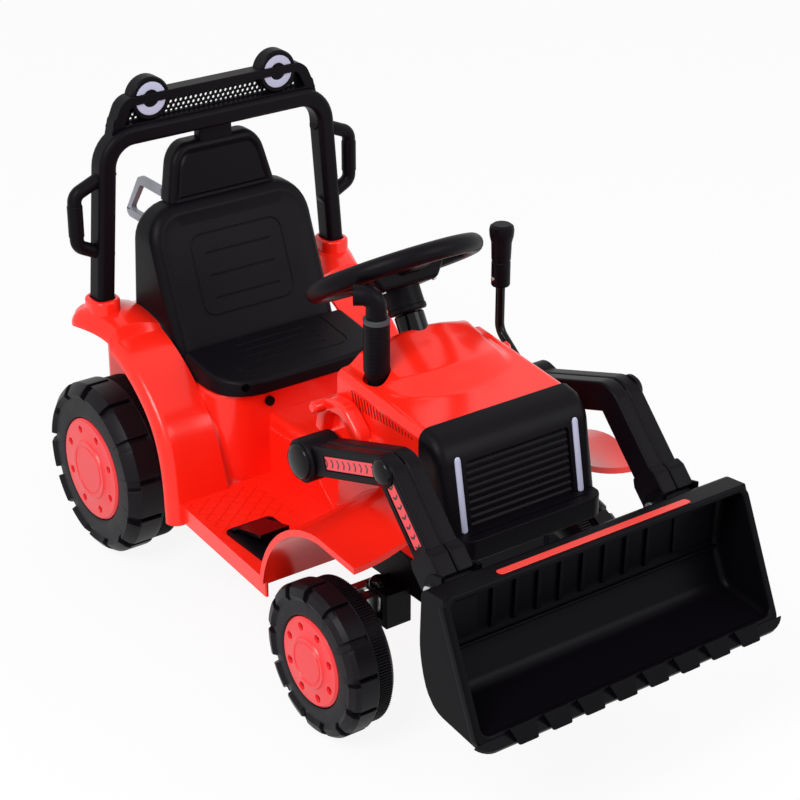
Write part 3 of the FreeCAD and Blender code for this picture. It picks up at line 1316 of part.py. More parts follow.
caps = []
stripes = []
for side_name, side in SIDES:
    name = f"loader_arm_{side_name}"
    start = side_start(side, arm_inner_x, dim.arm_width)
    rear = beam(name + "_rear", start, dim.arm_width, dim.arm_height, pivot_y, dim.pivot_z, rear_length,
                rear_angle)
    front = beam(name + "_front", start, dim.arm_width, dim.arm_height, elbow_y, elbow_z, front_length,
                 front_angle)
    boss_start = side_start(side, arm_inner_x, dim.arm_width + dim.boss_proud)
    boss = rod(name + "_boss", "X", (boss_start, pivot_y, dim.pivot_z), dim.arm_width + dim.boss_proud,
               dim.boss_radius)
    knee = rod(name + "_knee", "X", (start, elbow_y, elbow_z), dim.arm_width, dim.elbow_radius)
    tip = rod(name + "_tip", "X", (start, bolt_y, bolt_z), dim.arm_width, dim.tip_radius)
    inner_start = side_start(side, arm_inner_x + dim.arm_wall, dim.arm_width - dim.arm_wall * 2)
    inner_width = dim.arm_width - dim.arm_wall * 2
    inner_height = dim.arm_height - dim.arm_wall * 2
    rear_cos, rear_sin = cosine(rear_angle), sine(rear_angle)
    front_cos, front_sin = cosine(front_angle), sine(front_angle)
    rear_start = (pivot_y - rear_cos * dim.boss_radius, dim.pivot_z - rear_sin * dim.boss_radius)
    front_start = (elbow_y - front_cos * dim.elbow_radius, elbow_z - front_sin * dim.elbow_radius)
    rear_run = rear_length - dim.boss_radius - dim.elbow_radius
    front_run = front_length - dim.elbow_radius - dim.tip_radius
    hollows = [beam(name + "_rear_space", inner_start, inner_width, inner_height, *rear_start, rear_run,
                    rear_angle),
               beam(name + "_front_space", inner_start, inner_width, inner_height, *front_start, front_run,
                    front_angle)]
    bore = rod(name + "_bore", "X", (boss_start, pivot_y, dim.pivot_z), dim.arm_width + dim.boss_proud,
               dim.pivot_radius + snug)
    lever_hole = rod(name + "_lever_hole", "Z", (dim.lever_x, pivot_y, dim.pivot_z), dim.lever_foot,
                     dim.lever_tube + dim.fit_gap)
    bolt_hole = rod(name + "_bolt_hole", "X", (start, bolt_y, bolt_z), dim.arm_width,
                    dim.bolt_radius + dim.running_gap)
    blank = fuse(name + "_blank", [rear, front, boss, knee, tip])
    node(cut(name + "_body", blank, [bore, bolt_hole, lever_hole] + hollows), name)
    cap_x = arm_inner_x + dim.arm_width + dim.boss_proud
    for part, radius, low, centre in (("pivot", dim.cap_radius, cap_x, (pivot_y, dim.pivot_z)),
                                      ("elbow", dim.elbow_cap_radius, arm_inner_x + dim.arm_width,
                                       (elbow_y, elbow_z))):
        caps.append(rod(f"{part}_cap_{side_name}", "X", (side_start(side, low, dim.cap_dome), *centre),
                        dim.cap_dome,
                        radius))
    stripe_x = side_start(side, arm_inner_x + dim.arm_width, dim.stripe_thickness)
    stripes.append(beam(f"stripe_rear_{side_name}", stripe_x, dim.stripe_thickness, dim.stripe_width,
                        *rear_start,
                        rear_run, rear_angle))
    stripes.append(beam(f"stripe_front_{side_name}", stripe_x, dim.stripe_thickness, dim.stripe_width,
                        *front_start,
                        front_run, front_angle))
node(group("cap_set", caps), "arm_caps")
node(group("stripe_set", stripes), "arm_stripes")

# Cross shaft with the lever welded to it, and the lever's grip
shaft_half = arm_inner_x + dim.arm_width + dim.boss_proud
cross = rod("cross_shaft", "X", (-shaft_half, pivot_y, dim.pivot_z), shaft_half * 2, dim.pivot_radius)
lever_route = [(dim.lever_x, pivot_y, dim.pivot_z),
               (dim.lever_x, pivot_y, dim.pivot_z + dim.lever_foot),
               (dim.lever_x, pivot_y + dim.lever_back, dim.pivot_z + dim.lever_knee),
               (dim.lever_x, pivot_y + dim.lever_back, dim.pivot_z + dim.grip_base)]
lever_pipe = tube("lever_pipe", lever_route, dim.lever_tube, dim.lever_bend)
node(fuse("lever_body", [cross, lever_pipe]), "loader_lever")
grip_y = pivot_y + dim.lever_back
grip_low = dim.pivot_z + dim.grip_base
grip_stem = rod("grip_stem", "Z", (dim.lever_x, grip_y, grip_low), dim.grip_top - dim.grip_base,
                dim.grip_radius)
grip_head = rod("grip_head_rod", "Z", (dim.lever_x, grip_y,
                                       dim.pivot_z + dim.grip_top - dim.grip_head_height),
                dim.grip_head_height, dim.grip_head)
node(fuse("grip_body", [grip_stem, grip_head]), "lever_grip")

# Bucket: a bent sheet closed by two cheeks, with ears for the arm bolts
bucket_spots = [
    (bolt_y - dim.bucket_top_reach, bolt_z + dim.bucket_top_rise),
    (bolt_y - dim.bucket_back_reach, bolt_z + dim.bucket_back_rise),
    (bolt_y - dim.bucket_heel_reach, bolt_z - dim.bucket_heel_drop),
    (bolt_y - dim.bucket_base_reach, bolt_z - dim.bucket_base_drop),
    (bolt_y - dim.bucket_lip_reach, bolt_z - dim.bucket_lip_drop),
]
sheet_wall = dim.bucket_wall
inner_spots = [
    (bucket_spots[4][0], bucket_spots[4][1] + sheet_wall), (bucket_spots[3][0] - sheet_wall / 2,
                                                            bucket_spots[3][1] + sheet_wall),
    (bucket_spots[2][0] - sheet_wall, bucket_spots[2][1]), (bucket_spots[1][0] - sheet_wall,
                                                            bucket_spots[1][1] - sheet_wall / 2),
    (bucket_spots[0][0], bucket_spots[0][1] - sheet_wall * 1.5),
]
bent_sheet = prism("bucket_sheet", "YZ", bucket_spots + inner_spots, -dim.bucket_half_width,
                   dim.bucket_half_width * 2)
cheeks = [prism(f"bucket_cheek_{side_name}", "YZ", bucket_spots,
                side_start(side, dim.bucket_half_width - sheet_wall, sheet_wall), sheet_wall)
          for side_name, side in SIDES]
ear_plates = []
bolts = []
inner_ear = arm_inner_x - dim.ear_gap - dim.ear_plate
outer_ear = arm_inner_x + dim.arm_width + dim.ear_gap
bolt_length = outer_ear + dim.ear_plate - inner_ear
for side_name, side in SIDES:
    for level, low in (("inner", inner_ear), ("outer", outer_ear)):
        start = side_start(side, low, dim.ear_plate)
        round_end = rod(f"ear_end_{level}_{side_name}", "X", (start, bolt_y, bolt_z), dim.ear_plate,
                        dim.ear_radius)
        web = box(f"ear_web_{level}_{side_name}",
                  (start, bolt_y - dim.bucket_back_reach, bolt_z - dim.ear_radius),
                  (dim.ear_plate, dim.bucket_back_reach, dim.ear_radius * 2))
        ear_plates += [round_end, web]
    shank = rod(f"bolt_shank_{side_name}", "X", (side_start(side, inner_ear, bolt_length), bolt_y, bolt_z),
                bolt_length,
                dim.bolt_radius)
    heads = [rod(f"bolt_{end}_{side_name}", "X",
                 (side_start(side, low, dim.bolt_head_height), bolt_y, bolt_z),
                 dim.bolt_head_height, dim.bolt_head_radius)
             for end, low in (("head", inner_ear - dim.bolt_head_height),
                              ("nut", outer_ear + dim.ear_plate))]
    bolts.append(fuse(f"bucket_bolt_{side_name}", [shank] + heads))
ear_bore = rod("bucket_ear_bore", "X", (-dim.bucket_half_width, bolt_y, bolt_z), dim.bucket_half_width * 2,
               dim.bolt_radius + snug)
ears_cut = cut("bucket_ears", fuse("bucket_ear_set", ear_plates), [ear_bore])
bucket_solid = prism("bucket_solid", "YZ", inner_spots, sheet_wall - dim.bucket_half_width,
                     (dim.bucket_half_width - sheet_wall) * 2)
node(cut("bucket_body", fuse("bucket_blank", [bent_sheet, ears_cut] + cheeks), [bucket_solid]),
     "bucket_shell")
node(group("bolt_pair", bolts), "bucket_bolts")

# Cutting edge with wedge teeth in front of the lip, and the stripe on the top wall
lip_y, lip_z = bucket_spots[4]
edge_plate = box("edge_plate", (-dim.edge_half_width, lip_y - dim.edge_reach,
                                lip_z - dim.edge_thickness / 4),
                 (dim.edge_half_width * 2, dim.edge_reach, dim.edge_thickness))
tooth_pitch = (dim.edge_half_width * 2 - dim.tooth_width * 2) / (TOOTH_COUNT - 1)
tooth_front = lip_y - dim.edge_reach - dim.tooth_reach
tooth_outline = [(tooth_front, lip_z - dim.edge_thickness / 4), (tooth_front, lip_z),
                 (lip_y - dim.edge_reach, lip_z + dim.edge_thickness * 0.75),
                 (lip_y - dim.edge_reach, lip_z - dim.edge_thickness / 4)]
teeth = [prism(f"edge_tooth_{index}", "YZ", tooth_outline,
               tooth_pitch * index - dim.edge_half_width + dim.tooth_width / 2, dim.tooth_width)
         for index in range(TOOTH_COUNT)]
node(fuse("edge_body", [edge_plate] + teeth), "cutting_edge")
top_spot, back_spot = bucket_spots[0], bucket_spots[1]
top_run, top_drop = back_spot[0] - top_spot[0], top_spot[1] - back_spot[1]
stripe_rise = dim.stripe_thickness
stripe_outline = [
    (top_spot[0] + top_run * 0.1, top_spot[1] - top_drop * 0.1),
    (top_spot[0] + top_run * 0.1 + stripe_rise, top_spot[1] - top_drop * 0.1 + stripe_rise),
    (top_spot[0] + top_run * 0.75 + stripe_rise, top_spot[1] - top_drop * 0.75 + stripe_rise),
    (top_spot[0] + top_run * 0.75, top_spot[1] - top_drop * 0.75),
]
node(prism("bucket_stripe_body", "YZ", stripe_outline, -dim.stripe_half_width, dim.stripe_half_width * 2),
     "bucket_stripe")

# Accelerator pedal: a wedge on the right footboard, hinged at its heel
pedal_toe_y = pedal_y - dim.pedal_length
pedal_outline = [(pedal_y, pedal_z - dim.pedal_pin_radius), (pedal_y, pedal_z + dim.pedal_pin_radius),
                 (pedal_toe_y, pedal_z + dim.pedal_height),
                 (pedal_toe_y, pedal_z + dim.pedal_height - dim.pedal_toe)]
pedal_plate = prism("pedal_plate", "YZ", pedal_outline, pedal_low_x, dim.pedal_width)
pedal_pin = rod("pedal_pin", "X", (lug_low, pedal_y, pedal_z), lug_high - lug_low + dim.pedal_lug,
                dim.pedal_pin_radius)
node(fuse("pedal_body", [pedal_plate, pedal_pin]), "accelerator_pedal")

doc.recompute()
failed = [thing.Name for thing in doc.Objects if {"Invalid", "Error"} & set(thing.State)]
failed += [thing.Label for thing in nodes if thing.Shape.isNull() or not thing.Shape.isValid()]
if failed:
    raise RuntimeError("failed: " + ", ".join(failed))
os.makedirs("parts", exist_ok=True)
for thing in nodes:
    thing.Shape.exportStep(f"parts/{thing.Label}.step")
print(len(nodes), "nodes written")
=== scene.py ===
import json
import math

import bmesh
import bpy
from mathutils import Matrix, Vector


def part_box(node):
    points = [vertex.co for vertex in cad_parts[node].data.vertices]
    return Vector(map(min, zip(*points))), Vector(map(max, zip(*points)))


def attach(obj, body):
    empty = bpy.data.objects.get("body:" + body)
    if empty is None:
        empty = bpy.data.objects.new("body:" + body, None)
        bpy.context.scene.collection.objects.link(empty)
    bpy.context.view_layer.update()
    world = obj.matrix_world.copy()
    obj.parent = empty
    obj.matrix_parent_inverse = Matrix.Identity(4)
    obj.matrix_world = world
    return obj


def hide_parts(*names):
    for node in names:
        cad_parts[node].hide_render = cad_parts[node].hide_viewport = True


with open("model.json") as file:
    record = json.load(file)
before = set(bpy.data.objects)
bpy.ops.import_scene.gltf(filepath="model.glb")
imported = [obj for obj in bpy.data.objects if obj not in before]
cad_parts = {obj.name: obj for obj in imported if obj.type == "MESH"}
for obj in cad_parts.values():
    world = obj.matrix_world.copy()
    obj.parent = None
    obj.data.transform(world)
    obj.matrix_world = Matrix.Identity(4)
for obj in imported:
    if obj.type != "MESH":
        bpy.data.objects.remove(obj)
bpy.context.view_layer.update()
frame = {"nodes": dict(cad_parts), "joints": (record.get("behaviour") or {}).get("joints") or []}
scene = bpy.context.scene
cadNodes = frame["nodes"]
acrossX, upZ = Vector((1, 0, 0)), Vector((0, 0, 1))
print("frame loaded,", len(cadNodes), "nodes")


# small tools, lengths in mm

def span(node):  # a node's corners
    lo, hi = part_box(node)
    return lo * 1000, hi * 1000


def jointOf(name):  # a joint's place and axis
    joint = next(j for j in frame["joints"] if j["name"] == name)
    return Vector(joint["pos_m"]) * 1000, Vector(joint["axis"]).normalized()


def mm(*point):
    return Vector(point) / 1000


def shift(*move):
    return Matrix.Translation(mm(*move))


def tilt(angle, axis):
    return Matrix.Rotation(math.radians(angle), 4, axis)


def between(a, b, share):
    return a + (b - a) * share


def ease(t):
    t = max(0, min(1, t))
    return t * t * (3 - 2 * t)


def linear(hexCode):
    parts = [int(hexCode[i:i + 2], 16) / 255 for i in (1, 3, 5)]
    return [c / 12.92 if c <= 0.04045 else ((c + 0.055) / 1.055) ** 2.4 for c in parts] + [1.0]


def addNode(tree, kind, settings, sockets):
    node = tree.nodes.new("ShaderNode" + kind)
    for key, value in settings.items():
        setattr(node, key, value)
    for key, value in sockets.items():
        if isinstance(value, bpy.types.NodeSocket):
            tree.links.new(value, node.inputs[key])
        else:
            node.inputs[key].default_value = value
    return node


def vertsIn(geom):
    return [g for g in geom if isinstance(g, bmesh.types.BMVert)]


def edgesIn(geom):
    return [g for g in geom if isinstance(g, bmesh.types.BMEdge)]


def vertsOf(edges):
    return list({v for e in edges for v in e.verts})


def rect(x0, x1, y0, y1, z):  # four corners at one height
    return [(x0, y0, z), (x1, y0, z), (x1, y1, z), (x0, y1, z)]


def flatFace(corners, rounds=0):  # a face from a few corners, each with its own rounding
    bm = bmesh.new()
    verts = [bm.verts.new(Vector(c) / 1000) for c in corners]
    bm.faces.new(verts)
    widths = rounds if isinstance(rounds, (list, tuple)) else [rounds] * len(verts)
    for vert, width in zip(verts, widths):
        if width:
            bmesh.ops.bevel(bm, geom=[vert], offset=width / 1000, offset_type="OFFSET", affect="VERTICES",
                            segments=5, profile=0.5, material=-1)
    return bm


def pull(bm, faces, move):  # faces drawn out along a move
    far = vertsIn(bmesh.ops.extrude_face_region(bm, geom=faces)["geom"])
    bmesh.ops.translate(bm, verts=far, vec=Vector(move) / 1000)
    return far


def outwards(bm):
    bmesh.ops.remove_doubles(bm, verts=bm.verts, dist=1e-6)
    bmesh.ops.recalc_face_normals(bm, faces=bm.faces)
    return bm


def slab(corners, move, rounds=0):  # a flat face drawn out to a solid
    bm = flatFace(corners, rounds)
    pull(bm, bm.faces[:], move)
    return outwards(bm)


def prism(outline, x0, x1, rounds=0):  # a side outline (y, z) drawn across the part
    return slab([(x0, y, z) for y, z in outline], (x1 - x0, 0, 0), rounds)


def block(lo, hi):
    bm = bmesh.new()
    bmesh.ops.create_cube(bm, size=1)
    bmesh.ops.scale(bm, vec=(Vector(hi) - Vector(lo)) / 1000, verts=bm.verts)
    bmesh.ops.translate(bm, vec=(Vector(lo) + Vector(hi)) / 2000, verts=bm.verts)
    return bm


def middle(edge):
    return (edge.verts[0].co + edge.verts[1].co) * 500


def along(edge, axis):  # how far an edge runs along an axis, 0 to 1
    run = edge.verts[1].co - edge.verts[0].co
    return abs(run[axis]) / max(run.length, 1e-9)


def roundEdges(bm, width, pick=None, segments=3, angle=30):
    limit = math.radians(angle)
    edges = [e for e in bm.edges if len(e.link_faces) == 2 and e.calc_face_angle() > limit
             and (pick is None or pick(e))]
    bmesh.ops.bevel(bm, geom=edges, offset=width / 1000, offset_type="OFFSET", affect="EDGES",
                    segments=segments, profile=0.5, clamp_overlap=True, material=-1)
    return bm


def addTo(bm, other):  # one mesh into another
    temp = bpy.data.meshes.new("temp")
    other.to_mesh(temp)
    other.free()
    bm.from_mesh(temp)
    bpy.data.meshes.remove(temp)


def together(*parts):
    for other in parts[1:]:
        addTo(parts[0], other)
    return parts[0]


def carve(bm, cutter, operation="DIFFERENCE"):
    temps = []
    for source in (bm, cutter):
        mesh = bpy.data.meshes.new("carve")
        source.to_mesh(mesh)
        source.free()
        temps.append(bpy.data.objects.new("carve", mesh))
        scene.collection.objects.link(temps[-1])
    cut = temps[0].modifiers.new("cut", "BOOLEAN")
    cut.operation, cut.object, cut.solver, cut.use_self = operation, temps[1], "EXACT", True
    done = bpy.data.meshes.new_from_object(temps[0].evaluated_get(bpy.context.evaluated_depsgraph_get()))
    result = bmesh.new()
    result.from_mesh(done)
    bpy.data.meshes.remove(done)
    for temp in temps:
        mesh = temp.data
        bpy.data.objects.remove(temp)
        bpy.data.meshes.remove(mesh)
    bmesh.ops.dissolve_degenerate(result, dist=1e-7, edges=result.edges)
    return result


def lathe(profile, centre, axis, steps=48, closed=False):  # (radius, height) points spun about an axis
    bm = bmesh.new()
    centre, axis = Vector(centre), Vector(axis).normalized()
    across = axis.orthogonal().normalized()
    verts = [bm.verts.new((centre + axis * h + across * r) / 1000) for r, h in profile]
    edges = [bm.edges.new(pair) for pair in zip(verts, verts[1:])]
    if closed:
        edges.append(bm.edges.new((verts[-1], verts[0])))
    bmesh.ops.spin(bm, geom=verts + edges, cent=centre / 1000, axis=axis, angle=math.tau, steps=steps,
                   use_merge=True, use_duplicate=False)
    return outwards(bm)


def roundBar(radius, h0, h1, centre, axis, steps):
    return lathe([(0, h0), (radius, h0), (radius, h1), (0, h1)], centre, axis, steps)


def tubeAlong(points, section, bend, up=acrossX, sides=20, steps=8):  # a section along runs with round bends
    path = [Vector(p) / 1000 for p in points]
    ways = [(b - a).normalized() for a, b in zip(path, path[1:])]
    if isinstance(section, (int, float)):
        bm = bmesh.new()
        bmesh.ops.create_circle(bm, cap_ends=True, segments=sides, radius=section / 1000)
    else:
        wide, deep, corner = section
        bm = flatFace(rect(-wide / 2, wide / 2, -deep / 2, deep / 2, 0), corner)
    side = (Vector(up) - ways[0] * Vector(up).dot(ways[0])).normalized()
    turn = Matrix((side, ways[0].cross(side), ways[0])).transposed().to_4x4()
    placed(bm, Matrix.Translation(path[0]) @ turn)
    ring = bm.edges[:]
    here = path[0]
    for i, way in enumerate(ways):
        last = i == len(ways) - 1
        angle = 0 if last else way.angle(ways[i + 1])
        reach = bend / 1000 * math.tan(angle / 2)
        goal = path[i + 1] - way * reach
        ring = edgesIn(bmesh.ops.extrude_edge_only(bm, edges=ring)["geom"])
        bmesh.ops.translate(bm, vec=goal - here, verts=vertsOf(ring))
        here = goal
        if angle > 0.001:
            inward = (ways[i + 1] - way * way.dot(ways[i + 1])).normalized()
            ring = edgesIn(bmesh.ops.spin(bm, geom=ring, cent=here + inward * bend / 1000,
                                          axis=way.cross(ways[i + 1]).normalized(), angle=angle,
                                          steps=steps, use_duplicate=False)["geom_last"])
            here = path[i + 1] + ways[i + 1] * reach
    bmesh.ops.edgeloop_fill(bm, edges=ring)
    return outwards(bm)


def forSide(bm, side):  # shapes are made for the left and mirrored for the right
    if side == "left":
        return bm
    other = bm.copy()
    bmesh.ops.scale(other, vec=(-1, 1, 1), verts=other.verts)
    bmesh.ops.reverse_faces(other, faces=other.faces)
    return other


def facing(origin, up, right=acrossX):  # a flat place on the part: x to the right, y up it, z out of it
    right, up = Vector(right).normalized(), Vector(up).normalized()
    turn = Matrix((right, up, right.cross(up))).transposed().to_4x4()
    return shift(*origin) @ turn


def placed(bm, matrix):
    bmesh.ops.transform(bm, matrix=matrix, verts=bm.verts)
    return bm


def putPiece(name, bm, finish, slot, *replaced, body="chassis", smooth=32):
    mesh = bpy.data.meshes.new(name)
    bm.to_mesh(mesh)
    bm.free()
    mesh.materials.append(finish)
    mesh.shade_smooth()
    mesh.set_sharp_from_angle(angle=math.radians(smooth))
    obj = bpy.data.objects.new(name, mesh)
    scene.collection.objects.link(obj)
    flat = obj.modifiers.new("flat faces stay flat", "WEIGHTED_NORMAL")
    flat.keep_sharp = True
    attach(obj, body)
    if replaced:
        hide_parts(*replaced)
    return obj


def soften(obj, width, segments=2, angle=40):  # small moulded radius on every sharp edge
    bevel = obj.modifiers.new("moulded edge", "BEVEL")
    bevel.width, bevel.segments = width / 1000, segments
    bevel.limit_method, bevel.angle_limit = "ANGLE", math.radians(angle)
    bevel.harden_normals = True


def softenNode(name, width):  # the same on a CAD node, whose triangles are welded first
    weld = cadNodes[name].modifiers.new("weld", "WELD")
    weld.merge_threshold = 1e-5
    soften(cadNodes[name], width)


# finishes

def newMaterial(name):
    mat = bpy.data.materials.new(name)
    mat.use_nodes = True
    tree = mat.node_tree
    return mat, tree, tree.nodes["Principled BSDF"]


def noise(tree, sizeMm, detail):
    where = addNode(tree, "TexCoord", {}, {}).outputs["Object"]
    return addNode(tree, "TexNoise", {}, {"Vector": where, "Scale": 1000 / sizeMm,
                                          "Detail": detail}).outputs["Fac"]


def moulded(name, colour, shade, rough, grain, wave=None, coat=0.0, shine=0.5):  # grain: mm, strength
    mat, tree, shader = newMaterial(name)
    cloudy = noise(tree, 90, 3.0)
    tone = addNode(tree, "Mix", {"data_type": "RGBA"}, {0: cloudy, 6: linear(colour), 7: linear(shade)})
    tree.links.new(tone.outputs[2], shader.inputs["Base Color"])
    dull = addNode(tree, "MapRange", {}, {"Value": cloudy, "To Min": rough - 0.04, "To Max": rough + 0.05})
    tree.links.new(dull.outputs[0], shader.inputs["Roughness"])
    bump = addNode(tree, "Bump", {}, {"Height": noise(tree, grain[0], 2.0), "Strength": grain[1],
                                      "Distance": 0.001})
    if wave:
        bump = addNode(tree, "Bump", {}, {"Height": noise(tree, wave[0], 1.0), "Strength": wave[1],
                                          "Distance": 0.002, "Normal": bump.outputs[0]})
    tree.links.new(bump.outputs[0], shader.inputs["Normal"])
    shader.inputs["IOR"].default_value = 1.49
    shader.inputs["Specular IOR Level"].default_value = shine
    shader.inputs["Coat Weight"].default_value = coat
    shader.inputs["Coat Roughness"].default_value = 0.08
    return mat


# polypropylene from a polished mould: bright and wet looking, with a faint waviness
redShell = moulded("polypropylene_gloss_moulded_red", "#FF2818", "#F71E10", 0.2, (1.2, 0.01), (26, 0.05),
                   0.1, 0.36)
# the same from a duller tool: hub caps a little pinker, a tint that is partly painted reflection of the
# bright surroundings
redHubReflectionTint = moulded("polypropylene_satin_moulded_red_painted_reflection_tint", "#F23338", "#EC2A30", 0.3, (1.0, 0.03))
# painted shade: matt dark red stands in for the unlit bottoms of the hood's narrow moulded slits, which are
# the shell's own red
slitShadeRed = moulded("polypropylene_matt_moulded_dark_red", "#7E0F0A", "#6E0B07", 0.6, (1.0, 0.1), shine=0.1)
# polypropylene from an etched mould: fine grain breaks the gloss up, deep black with a faint violet sheen
blackShell = moulded("polypropylene_etched_moulded_black", "#0D0A0F", "#0A070C", 0.4, (1.1, 0.16),
                     shine=0.08)
# blow-moulded polyethylene tyre: waxy, a little greyer
tyreBlack = moulded("polyethylene_blow_moulded_black", "#141116", "#0F0C11", 0.42, (1.4, 0.12), (18, 0.05),
                    shine=0.14)
# loader bucket, the mould's smooth side
bucketBlack = moulded("polypropylene_smooth_moulded_black", "#0A080C", "#08060A", 0.34, (1.2, 0.06),
                      (30, 0.04), shine=0.05)
# glossy styrenic plastic: caps, lever and the column's boot mirror the room
capBlack = moulded("abs_polished_black", "#0B0A0D", "#08070A", 0.08, (1.0, 0.01), shine=0.18)
# milky lens plastic
lensWhite = moulded("polycarbonate_frosted_white", "#B9BAD2", "#AFB0CA", 0.3, (0.9, 0.04), shine=0.3)
# handle behind the seat, a plain satin tool
greyTrim = moulded("polypropylene_satin_moulded_grey", "#9799A2", "#8C8E98", 0.4, (1.0, 0.1))
# gear cases under the console, coarse filled nylon
driveCase = moulded("nylon_moulded_dark_grey", "#3A3C40", "#333539", 0.5, (1.2, 0.12))
# thin printed film on the bucket's lip
redFilm = moulded("vinyl_film_red", "#EA3A30", "#E6352C", 0.33, (1.5, 0.01))


def platedSteel(name, colour, rough):  # rolled or turned steel with a thin plating: fine streaks, cool shine
    mat, tree, shader = newMaterial(name)
    dull = addNode(tree, "MapRange", {}, {"Value": noise(tree, 1.5, 2.0), "To Min": rough - 0.08,
                                          "To Max": rough + 0.1})
    tree.links.new(dull.outputs[0], shader.inputs["Roughness"])
    shader.inputs["Base Color"].default_value = linear(colour)
    shader.inputs["Metallic"].default_value = 1.0
    return mat


# bolts, screws and axles: zinc on turned steel
steel = platedSteel("steel_zinc_plated", "#C9CACC", 0.3)
# cans of the drive motors: bare drawn sheet
motorCan = platedSteel("steel_drawn_can", "#8E9094", 0.4)


def chevronFilm(name, ground, mark, pitchMm, lineShare, halfMm, slope):  # follows the strip's own map
    mat, tree, shader = newMaterial(name)

    def sums(kind, *values):
        return addNode(tree, "Math", {"operation": kind}, dict(enumerate(values))).outputs[0]

    strip = addNode(tree, "UVMap", {"uv_map": "strip"}, {})
    parts = addNode(tree, "SeparateXYZ", {}, {"Vector": strip.outputs[0]})
    off = sums("ABSOLUTE", parts.outputs["Y"])
    lean = sums("MULTIPLY_ADD", off, slope, parts.outputs["X"])
    inLine = sums("LESS_THAN", sums("FRACT", sums("DIVIDE", lean, pitchMm)), lineShare)
    both = sums("MULTIPLY", inLine, sums("LESS_THAN", off, halfMm))
    tone = addNode(tree, "Mix", {"data_type": "RGBA"}, {0: both, 6: linear(ground), 7: linear(mark)})
    tree.links.new(tone.outputs[2], shader.inputs["Base Color"])
    shader.inputs["Roughness"].default_value = 0.35
    return mat


# printed vinyl strips on the loader's arms
chevron = chevronFilm("vinyl_printed_chevrons", "#E8404A", "#2A1216", 13, 0.26, 5.5, 0.55)
print("finishes ready")


# plain finishes for the CAD nodes that stay in view

slotFinish = {"red_shell": redShell, "red_hub": redHubReflectionTint, "red_trim": redFilm, "black_shell": blackShell,
              "tyre_black": tyreBlack, "lens_white": lensWhite, "grey_trim": greyTrim, "steel": steel,
              "drive_case": driveCase, "motor_can": motorCan}
for obj in cadNodes.values():
    for place in obj.material_slots:
        for slotName, finish in slotFinish.items():
            if place.material and slotName in place.material.name:
                place.material = finish
                break


# wheels

def wheelPart(node, side):  # width, radius, and the middle of the inner face
    lo, hi = span(node)
    inner = Vector((lo.x if side == "left" else hi.x, (lo.y + hi.y) / 2, (lo.z + hi.z) / 2))
    return hi.x - lo.x, (hi.z - lo.z) / 2, inner


tyre = {"lugs": 13, "stepsPerLug": 24, "treadGap": 3, "wallGap": 6, "lugDepth": 8, "lugSpread": 1.12,
        "ridge": 5, "ribDepth": 3, "ribFrom": 9, "ribTo": 0.4, "ridgeTo": 0.48, "treadTo": 0.8,
        "recess": 20, "bore": 15, "shoulderIn": 5, "edge": 1.3}


def makeTyre(end, side):
    sign = 1 if side == "left" else -1
    wide, radius, inner = wheelPart(end + "_tyre_" + side, side)
    rim = wheelPart(end + "_hub_" + side, side)[1]
    base, face, recess = radius - tyre["lugDepth"], wide - tyre["shoulderIn"], wide - tyre["recess"]
    ribEnd, ridgeEnd, treadEnd = [wide * tyre[key] for key in ("ribTo", "ridgeTo", "treadTo")]
    ridge = base + tyre["ridge"]
    profile = [(tyre["bore"], wide * 0.4), (rim * 0.55, wide * 0.36), (rim * 0.86, 8), (rim, 2),
               (base - 16, 0), (base - 5, 3), (base, tyre["ribFrom"]), (base, ribEnd), (ridge, ribEnd + 2),
               (ridge, ridgeEnd - 2), (base, ridgeEnd), (base, treadEnd), (base - 4, treadEnd + 6),
               (base - 14, face), (rim + 6, face + 1), (rim + 2, face), (rim + 0.5, face - 3),
               (rim + 0.5, recess), (tyre["bore"], recess)]
    steps = tyre["lugs"] * tyre["stepsPerLug"]
    bm = lathe(profile, inner, (sign, 0, 0), steps, closed=True)
    lugs, ribs = [], []
    for f in bm.faces:
        c = f.calc_center_median() * 1000 - inner
        h, r = c.x * sign, math.hypot(c.y, c.z)  # place across the tread, and radius
        step = int(math.floor(math.atan2(c.z, c.y) / math.tau * steps + 0.001)) % steps
        k = step % tyre["stepsPerLug"]
        if ridgeEnd < h < treadEnd and r > base - 2:
            lugs += [f] if k >= tyre["treadGap"] else []
        elif treadEnd < h < face and r > base - 15:
            lugs += [f] if k >= tyre["wallGap"] else []
        elif tyre["ribFrom"] < h < ribEnd and r > base - 2:
            ribs += [f] if step % 2 else []
    hold = Matrix.Translation(-(inner + Vector((sign * wide / 2, 0, 0))) / 1000)
    grow, lift = radius / base, (base + tyre["ribDepth"]) / base
    for faces, size in ((lugs, (tyre["lugSpread"], grow, grow)), (ribs, (1, lift, lift))):
        far = vertsIn(bmesh.ops.extrude_face_region(bm, geom=faces)["geom"])
        bmesh.ops.scale(bm, vec=size, space=hold, verts=far)
    soften(putPiece("tyre_" + end + "_" + side, bm, tyreBlack, "tyre_black", end + "_tyre_" + side,
                    body=end + "_wheel_" + side), tyre["edge"])


hub = {"dots": 8, "dotRadius": 6, "dotPin": 2.4, "dotDepth": 5, "dotRing": 0.79, "badge": 0.58, "step": 3.5,
       "groove": 1.2, "edge": 0.7}


